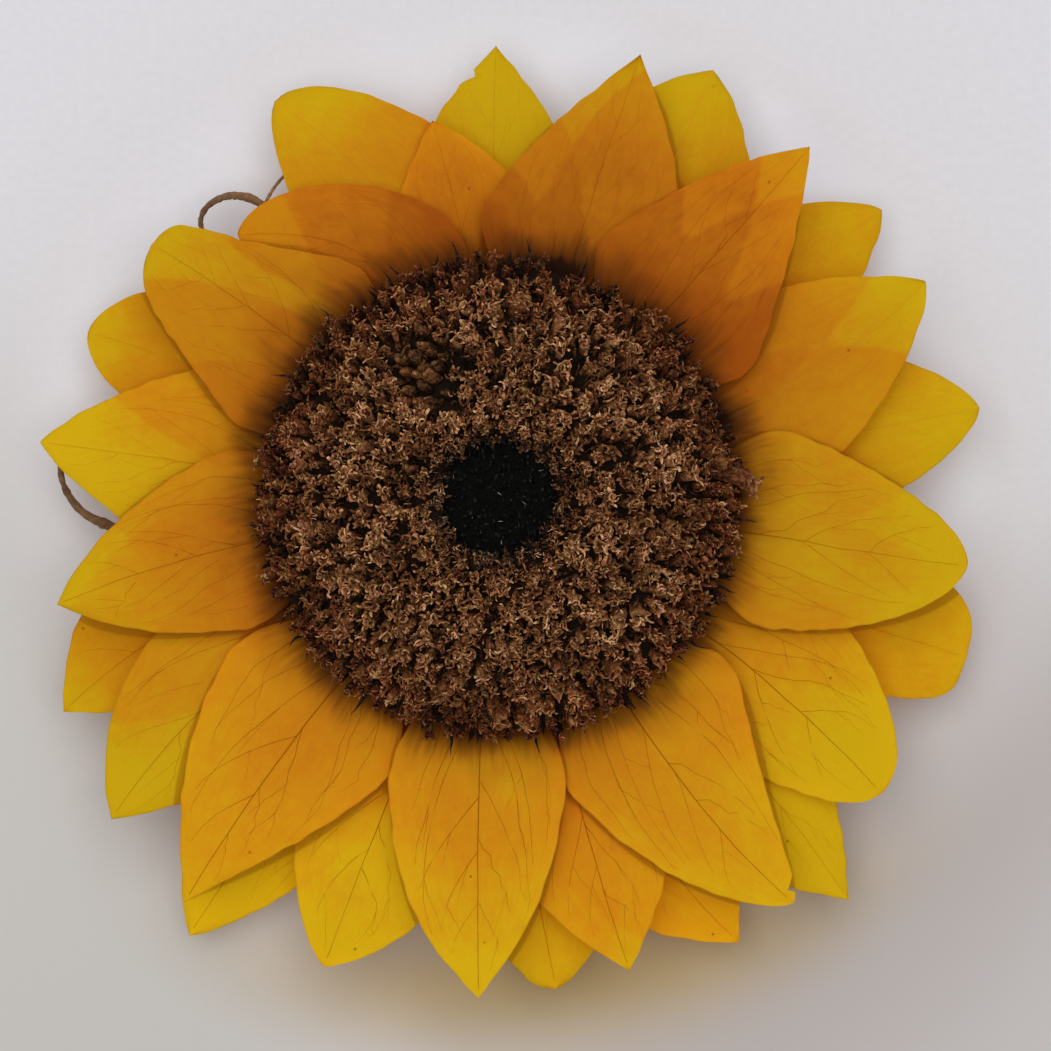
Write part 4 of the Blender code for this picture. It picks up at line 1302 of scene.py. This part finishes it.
def add_fillers(rings):
    """Low dark scales and curls that show between the florets."""
    draw = Random(53)
    for filler in range(FILLERS):
        angle = draw.uniform(0, 2 * math.pi)
        radius = math.sqrt(draw.uniform(HEART_RADIUS**2 * 1.3, FLORET_EDGE**2))
        x, y = radius * math.cos(angle), radius * math.sin(angle)
        if is_bare(x, y):
            continue
        turn = draw.uniform(0, 2 * math.pi)
        outward = np.array([math.cos(turn), math.sin(turn), 0])
        strands = ring_at(rings, radius)
        foot = np.array([x, y, disc_dome(radius) + draw.uniform(-0.3, 0.3) * MM])
        hues = dict(young=0.0, russet=float(smooth(20, 30, radius / MM)))
        if filler % 3:
            axis = unit(UP + outward * draw.uniform(0.5, 1.6))
            add_scale(strands, draw, foot, axis, outward, 1.0, draw.uniform(0.05, 0.35), **hues)
        else:
            start = foot + UP * draw.uniform(0.6, 1.4) * MM
            add_style(strands, draw, start, UP, outward, 1.1, draw.uniform(-0.05, 0.2), **hues)


def make_chaff(paint):
    """Dark spines among the rim's florets, some of them long, and scales up the wall beneath."""
    draw = Random(29)
    strands = Strands()
    headings = [(heading, True) for heading in SPINES]
    headings += [(draw.uniform(0, 360), False) for _ in range(SHORT_SPINES)]
    for heading, long in headings:
        outward = outwards(heading + draw.uniform(-2, 2))
        start = outward * draw.uniform(31.2, 32.4) * MM + UP * draw.uniform(20.9, 22.2) * MM
        length = draw.uniform(3.4, 4.8) * MM if long else draw.uniform(1.6, 2.9) * MM
        lean = draw.uniform(0.9, 1.35)
        axis = outward * math.sin(lean) + UP * math.cos(lean)
        turns = [0.0, draw.uniform(-0.2, 0.3), draw.uniform(-0.3, 0.4), draw.uniform(-0.2, 0.3)]
        side = np.cross(axis, UP)
        path = curl(start, axis, UP, turns, length / 4)
        widths = np.array([0.9, 0.75, 0.5, 0.28, 0.06]) * MM * (1.0 if long else 0.9)
        tones = 0.02 + np.array([0.0, 0.0, 0.05, 0.1, 0.15])
        strands.add(path, widths, widths * 0.3, unit(side), 4, tone=tones, young=0.5, russet=0)
    for _ in range(WALL_SCALES):
        outward = outwards(draw.uniform(0, 360))
        start = outward * RIM_RADIUS + UP * draw.uniform(15.0, 17.4) * MM
        axis = unit(UP + outward * draw.uniform(0.1, 0.5))
        side = np.cross(axis, outward)
        turns = [draw.uniform(-0.15, 0.15) for _ in range(4)]
        path = curl(start, axis, side, turns, draw.uniform(0.7, 1.0) * MM)
        widths = np.array([1.9, 1.7, 1.2, 0.6, 0.1]) * MM
        tones = draw.uniform(0.2, 0.5) + np.array([-0.2, -0.1, 0.0, 0.1, 0.2])
        strands.add(path, widths, widths * 0.25, side, 4, tone=tones, young=0.0, russet=0.3)
    return strands.piece("rim_chaff", paint)


def make_heart(paint):
    """The unopened buds of the middle, crowded on a low dome, with a few pale hairs."""
    draw = Random(31)
    strands = Strands()
    floor = HEART_FLOOR + HEART_GAP
    radii = np.array([0.2, 1.0, 1.0, 0.8, 0.5, 0.2]) * HEART_RADIUS
    heights = [floor, floor, HEART_RIM, HEART_RIM + 0.25 * MM, HEART_CREST, HEART_CREST]
    angles = 2 * math.pi * np.arange(HEART_SIDES) / HEART_SIDES
    rings = [circle(radius, height, angles) for radius, height in zip(radii, heights)]
    strands.add_rings(np.array(rings), tone=0.1)
    for x, y in spiral_places(0, HEART_RADIUS + 0.9 * MM, BUD_SPACING):
        x += draw.uniform(-BUD_SCATTER, BUD_SCATTER) * MM
        y += draw.uniform(-BUD_SCATTER, BUD_SCATTER) * MM
        radius = math.hypot(x, y)
        share = radius / HEART_RADIUS
        height = HEART_CREST - (HEART_CREST - HEART_RIM) * min(1, share) ** 2
        lean_x, lean_y = draw.gauss(0, 0.3), draw.gauss(0, 0.3)
        axis = unit(np.array([x * 25 + lean_x, y * 25 + lean_y, 1.0]))
        foot = np.array([x, y, height - 0.3 * MM])
        length = draw.uniform(0.7, 1.7) * MM * (1 + 0.3 * share)
        shares = np.array([0, 0.45, 0.8, 1.0])
        path = foot + axis * length * shares[:, None]
        widths = np.array([0.58, 0.62, 0.44, 0.10]) * MM * draw.uniform(0.6, 1.2)
        tones = draw.uniform(0.1, 0.55) + np.array([-0.2, 0, 0.12, 0.25])
        strands.add(path, widths, widths * draw.uniform(0.5, 1), cross_ways(axis)[0], 4, tone=tones)
        if draw.random() < 0.05 + 0.4 * max(0, share - 0.75):
            way = unit(np.array([draw.gauss(0, 1), draw.gauss(0, 1), 0.5]))
            bent = [draw.uniform(-0.3, 0.3) for _ in range(3)]
            hair = curl(path[-1] - way * 0.1 * MM, way, UP, bent, 0.22 * MM)
            thick = np.array([0.07, 0.09, 0.07, 0.03]) * MM
            strands.add(hair, thick, thick, cross_ways(way)[0], 3, tone=draw.uniform(0.5, 1.0))
    return strands.piece("heart_buds", paint)


def make_disc():
    florets = floret_paint()
    pieces = [make_disc_bed(florets), *make_florets(florets), make_chaff(florets)]
    for piece in pieces:
        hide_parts("disc_florets")
    heart = make_heart(heart_paint())
    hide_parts("disc_heart")


# The back


def smooth_route(points, shares):
    """Points of the Catmull-Rom curve through the points, at shares from 0 to 1 along it."""
    spans = len(points) - 1
    ends = np.array([points[0] * 2 - points[1], *points, points[-1] * 2 - points[-2]])
    place = np.minimum(np.asarray(shares) * spans, spans - 1e-6)
    i = place.astype(int)
    t = (place - i)[..., None]
    p0, p1, p2, p3 = ends[i], ends[i + 1], ends[i + 2], ends[i + 3]
    curve = p1 * 2 + (p2 - p0) * t + (p0 * 2 - p1 * 5 + p2 * 4 - p3) * t**2
    return (curve + (p1 * 3 - p0 - p2 * 3 + p3) * t**3) / 2


def bract_half_width(series, s, reach):
    share = np.minimum(1, s / reach)
    broad = series.width / 2 * (1 - share) ** 1.6 * (1 + 1.6 * share)
    return np.maximum(broad, BRACT_TIP_WIDTH / 2)


def bract_route(series, heading, draw):
    """Points along a plain bract: out from the back, then drooping, with its tip to one side."""
    x, y = heading_vector(heading)
    outward, side = np.array([x, y, 0]), np.array([y, -x, 0])
    length = series.length * draw.uniform(0.85, 1.12)
    sweep = draw.uniform(-4.5, 4.5) * MM
    droop = series.droop * draw.uniform(0.7, 1.15)
    points = []
    for step in range(6):
        s = step / 5
        height = series.root_height + series.lift * math.sin(math.pi * s) - droop * s**2
        point = outward * (BRACT_ROOT_RADIUS + length * s) + side * sweep * s**3
        points.append(point + UP * max(height, LOWEST_BRACT))
    return points


def thread_route(series, heading, plan):
    """Points of an inner bract whose tip follows the plan, level under the petals."""
    outward = outwards(heading)
    start = outward * BRACT_ROOT_RADIUS + UP * series.root_height
    shoulder = outward * (BRACT_ROOT_RADIUS + THREAD_ROOM) + UP * series.root_height
    thread = [np.array([x, y, 0]) * MM + UP * THREAD_HEIGHT for x, y in plan]
    return [start, shoulder, *thread]


def bract_routes():
    """(series, points, share of the length that is broad) of each bract, as in the solids."""
    draw = Random(3)
    inner = BRACT_SERIES[0]
    for series in BRACT_SERIES:
        step = 360 / series.count
        for i in range(series.count):
            heading = series.first_heading + step * i + draw.uniform(-3, 3)
            crowded = any(abs(heading - h) < step / 2 for h in THREADS)
            if series is inner and crowded:
                continue
            yield series, bract_route(series, heading, draw), 1.0
    for heading, thread in THREADS.items():
        yield inner, thread_route(inner, heading, thread.plan), THREAD_BRACT_SHARE


def bract_surface(series, points, reach, draw):
    """surface(s, v) of a bract with nerves lengthways and an uneven edge."""
    edges = EdgeWaves(draw, 0.25)
    lift = Waves(draw, 0.6)

    def surface(s, v):
        point = smooth_route(points, s)
        before, after = (smooth_route(points, np.clip(s + q, 0, 1)) for q in (-0.01, 0.01))
        across = unit(np.cross(unit(after - before), UP))
        half = bract_half_width(series, s, reach)
        broad = smooth(0.6 * MM, 2 * MM, half)
        half = half + 0.18 * MM * edges(s, v, 0.3, 1) * broad
        nerves = 0.07 * MM * np.cos(v * math.pi * 7) * broad
        height = BRACT_KEEL * half * v * v + nerves + 0.12 * MM * lift(s) * abs(v) * broad
        return point + across * (v * half)[..., None] + UP * height[..., None]

    return surface


def add_hairs(strands, draw, surface, count, reach):
    """Short bristles along a bract's edges."""
    for _ in range(count):
        s, side = draw.uniform(0.03, 0.9) * reach, draw.choice((-1, 1))
        root, inner = surface(np.array([s, s]), np.array([side * 0.97, side * 0.8]))
        way = unit(unit(root - inner) + np.array([draw.gauss(0, 0.3) for _ in range(3)]))
        turns = [draw.uniform(-0.2, 0.2) for _ in range(2)]
        path = curl(root - way * 0.1 * MM, way, UP, turns, draw.uniform(0.2, 0.4) * MM)
        thick = np.array([0.09, 0.06, 0.02]) * MM
        strands.add(path, thick, thick, cross_ways(way)[0], 3, tone=1.0)


def add_thread(strands, draw, points, thread):
    """The long dried tip of a bract: furrowed lengthways, and twisting as it curls."""
    shares = np.linspace(THREAD_BRACT_SHARE * 0.7, 1, THREAD_STEPS)
    path = smooth_route(points, shares)
    level = unit(np.cross(unit(np.gradient(path, axis=0)), UP))
    waver = Waves(draw, 0.25)
    angle = np.linspace(0, THREAD_TURNS * 2 * math.pi, THREAD_STEPS) + 0.8 * waver(shares)
    wide_way = level * np.cos(angle)[:, None] + UP * np.sin(angle)[:, None]
    widths = np.interp(shares, (0.3, 0.75, 1), (*thread.widths, thread.widths[1] * 0.6)) * MM
    widths = widths * (1 + 0.07 * waver(shares * 3))
    widths[-1] *= 0.3
    furrows = np.array([1.0 if side % 2 else 0.80 for side in range(THREAD_SIDES)])
    crumple = furrows * (1 + 0.07 * waver(shares[:, None] * 6 + furrows * 9))
    tones = thread.tone + 0.12 * waver(shares * 6)
    strands.add(path, widths, widths * 0.85, wide_way, THREAD_SIDES, crumple, tone=tones)


def make_body(paint):
    """The dish behind the disc and the stub of the stem, ribbed, with its cut pith."""
    profile = [*STEM_OUTLINE]
    for (r1, z1), (r2, z2) in zip(DISH_CURVE, DISH_CURVE[1:]):
        profile += [(r1 + (r2 - r1) * q / 4, z1 + (z2 - z1) * q / 4) for q in range(4)]
    profile += WALL_OUTLINE
    waves = Waves(Random(37), 0.3)

    def ribs(angle, radius):
        deep = RIB_DEPTH * smooth(PITH_RADIUS, STEM_RADIUS, radius)
        deep = deep * smooth(RIM_RADIUS, 20 * MM, radius)
        return deep * (np.cos(angle * STEM_RIBS) - 1 + 0.5 * np.sin(angle * 9) * waves(radius / MM))

    profile = [(r * MM, z * MM) for r, z in profile]
    points, faces = turned(profile, BODY_SIDES, ribs)
    radius = np.linalg.norm(points[:, :2], axis=1)
    cut = smooth(0.6 * MM, 0.3 * MM, points[:, 2])
    angle = np.arctan2(points[:, 1], points[:, 0])
    rib_tone = 0.35 + 0.2 * np.cos(angle * STEM_RIBS) * smooth(0.4 * MM, 1 * MM, points[:, 2])
    tone = np.where(cut > 0.5, np.where(radius < PITH_RADIUS, 2.2, 1.1), rib_tone)
    return new_piece("receptacle_body", points, faces, paint, smooth_angle=40, tone=tone)


def make_bracts(paint):
    draw = Random(41)
    strands = Strands()
    rows = 1 - (1 - np.linspace(0, 1, BRACT_ROWS)) ** 1.2
    columns = np.linspace(-1, 1, BRACT_COLUMNS)
    for series, points, reach in bract_routes():
        surface = bract_surface(series, points, reach, draw)
        thicknesses = BRACT_THICKNESS, BRACT_THICKNESS * 0.4
        corners, faces, s, v = blade_mesh(surface, rows * reach, columns, *thicknesses)
        tone = 0.35 + 0.35 * abs(v) ** 3 + 0.4 * s + draw.uniform(-0.15, 0.15)
        strands.add_mesh(corners, faces, tone=tone)
        add_hairs(strands, draw, surface, BRACT_HAIRS, reach)
    return strands.piece("bracts", paint)


def make_threads(paint):
    draw = Random(43)
    strands = Strands()
    for heading, thread in THREADS.items():
        add_thread(strands, draw, thread_route(BRACT_SERIES[0], heading, thread.plan), thread)
    return strands.piece("bract_threads", paint, smooth_angle=70)


def make_back():
    green = leaf_paint("dried_green", BRACT_GREENS)
    brown = leaf_paint("dried_brown", THREAD_BROWNS)
    for piece in (make_body(green), make_bracts(green), make_threads(brown)):
        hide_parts("receptacle_with_bracts")


# The stage


def make_stage():
    size = FLOOR_SIZE / 2
    corners = [(-size, -size, 0), (size, -size, 0), (size, size, 0), (-size, size, 0)]
    floor = new_piece("floor", corners, [(0, 1, 2), (0, 2, 3)], floor_paint(), stage=True)
    camera = bpy.data.objects.new("camera", bpy.data.cameras.new("camera"))
    camera.data.lens, camera.data.sensor_width = LENS, SENSOR
    distance = VIEW_WIDTH * LENS / SENSOR
    camera.location = (*VIEW_CENTRE, VIEW_LEVEL + distance)
    bpy.context.scene.collection.objects.link(camera)
    bpy.context.scene.camera = camera
    make_lamp()
    world = bpy.data.worlds.new("room")
    world.use_nodes = True
    background = world.node_tree.nodes["Background"]
    background.inputs["Color"].default_value = (*ROOM_COLOUR, 1)
    background.inputs["Strength"].default_value = ROOM_STRENGTH
    bpy.context.scene.world = world
    bpy.context.scene.view_settings.view_transform = "Standard"


def make_lamp():
    """A square lamp that faces the middle of the head."""
    light = bpy.data.lights.new("key", "AREA")
    light.size, light.energy, light.color = KEY_SIZE, KEY_POWER, KEY_COLOUR
    lamp = bpy.data.objects.new("key", light)
    lamp.location = KEY_PLACE
    away = np.array(KEY_PLACE) - UP * VIEW_LEVEL
    yaw = math.atan2(away[1], away[0]) + math.pi / 2
    lamp.rotation_euler = (math.atan2(math.hypot(*away[:2]), away[2]), 0, yaw)
    bpy.context.scene.collection.objects.link(lamp)


def main():
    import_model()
    make_stage()
    make_petals()
    make_disc()
    make_back()


main()
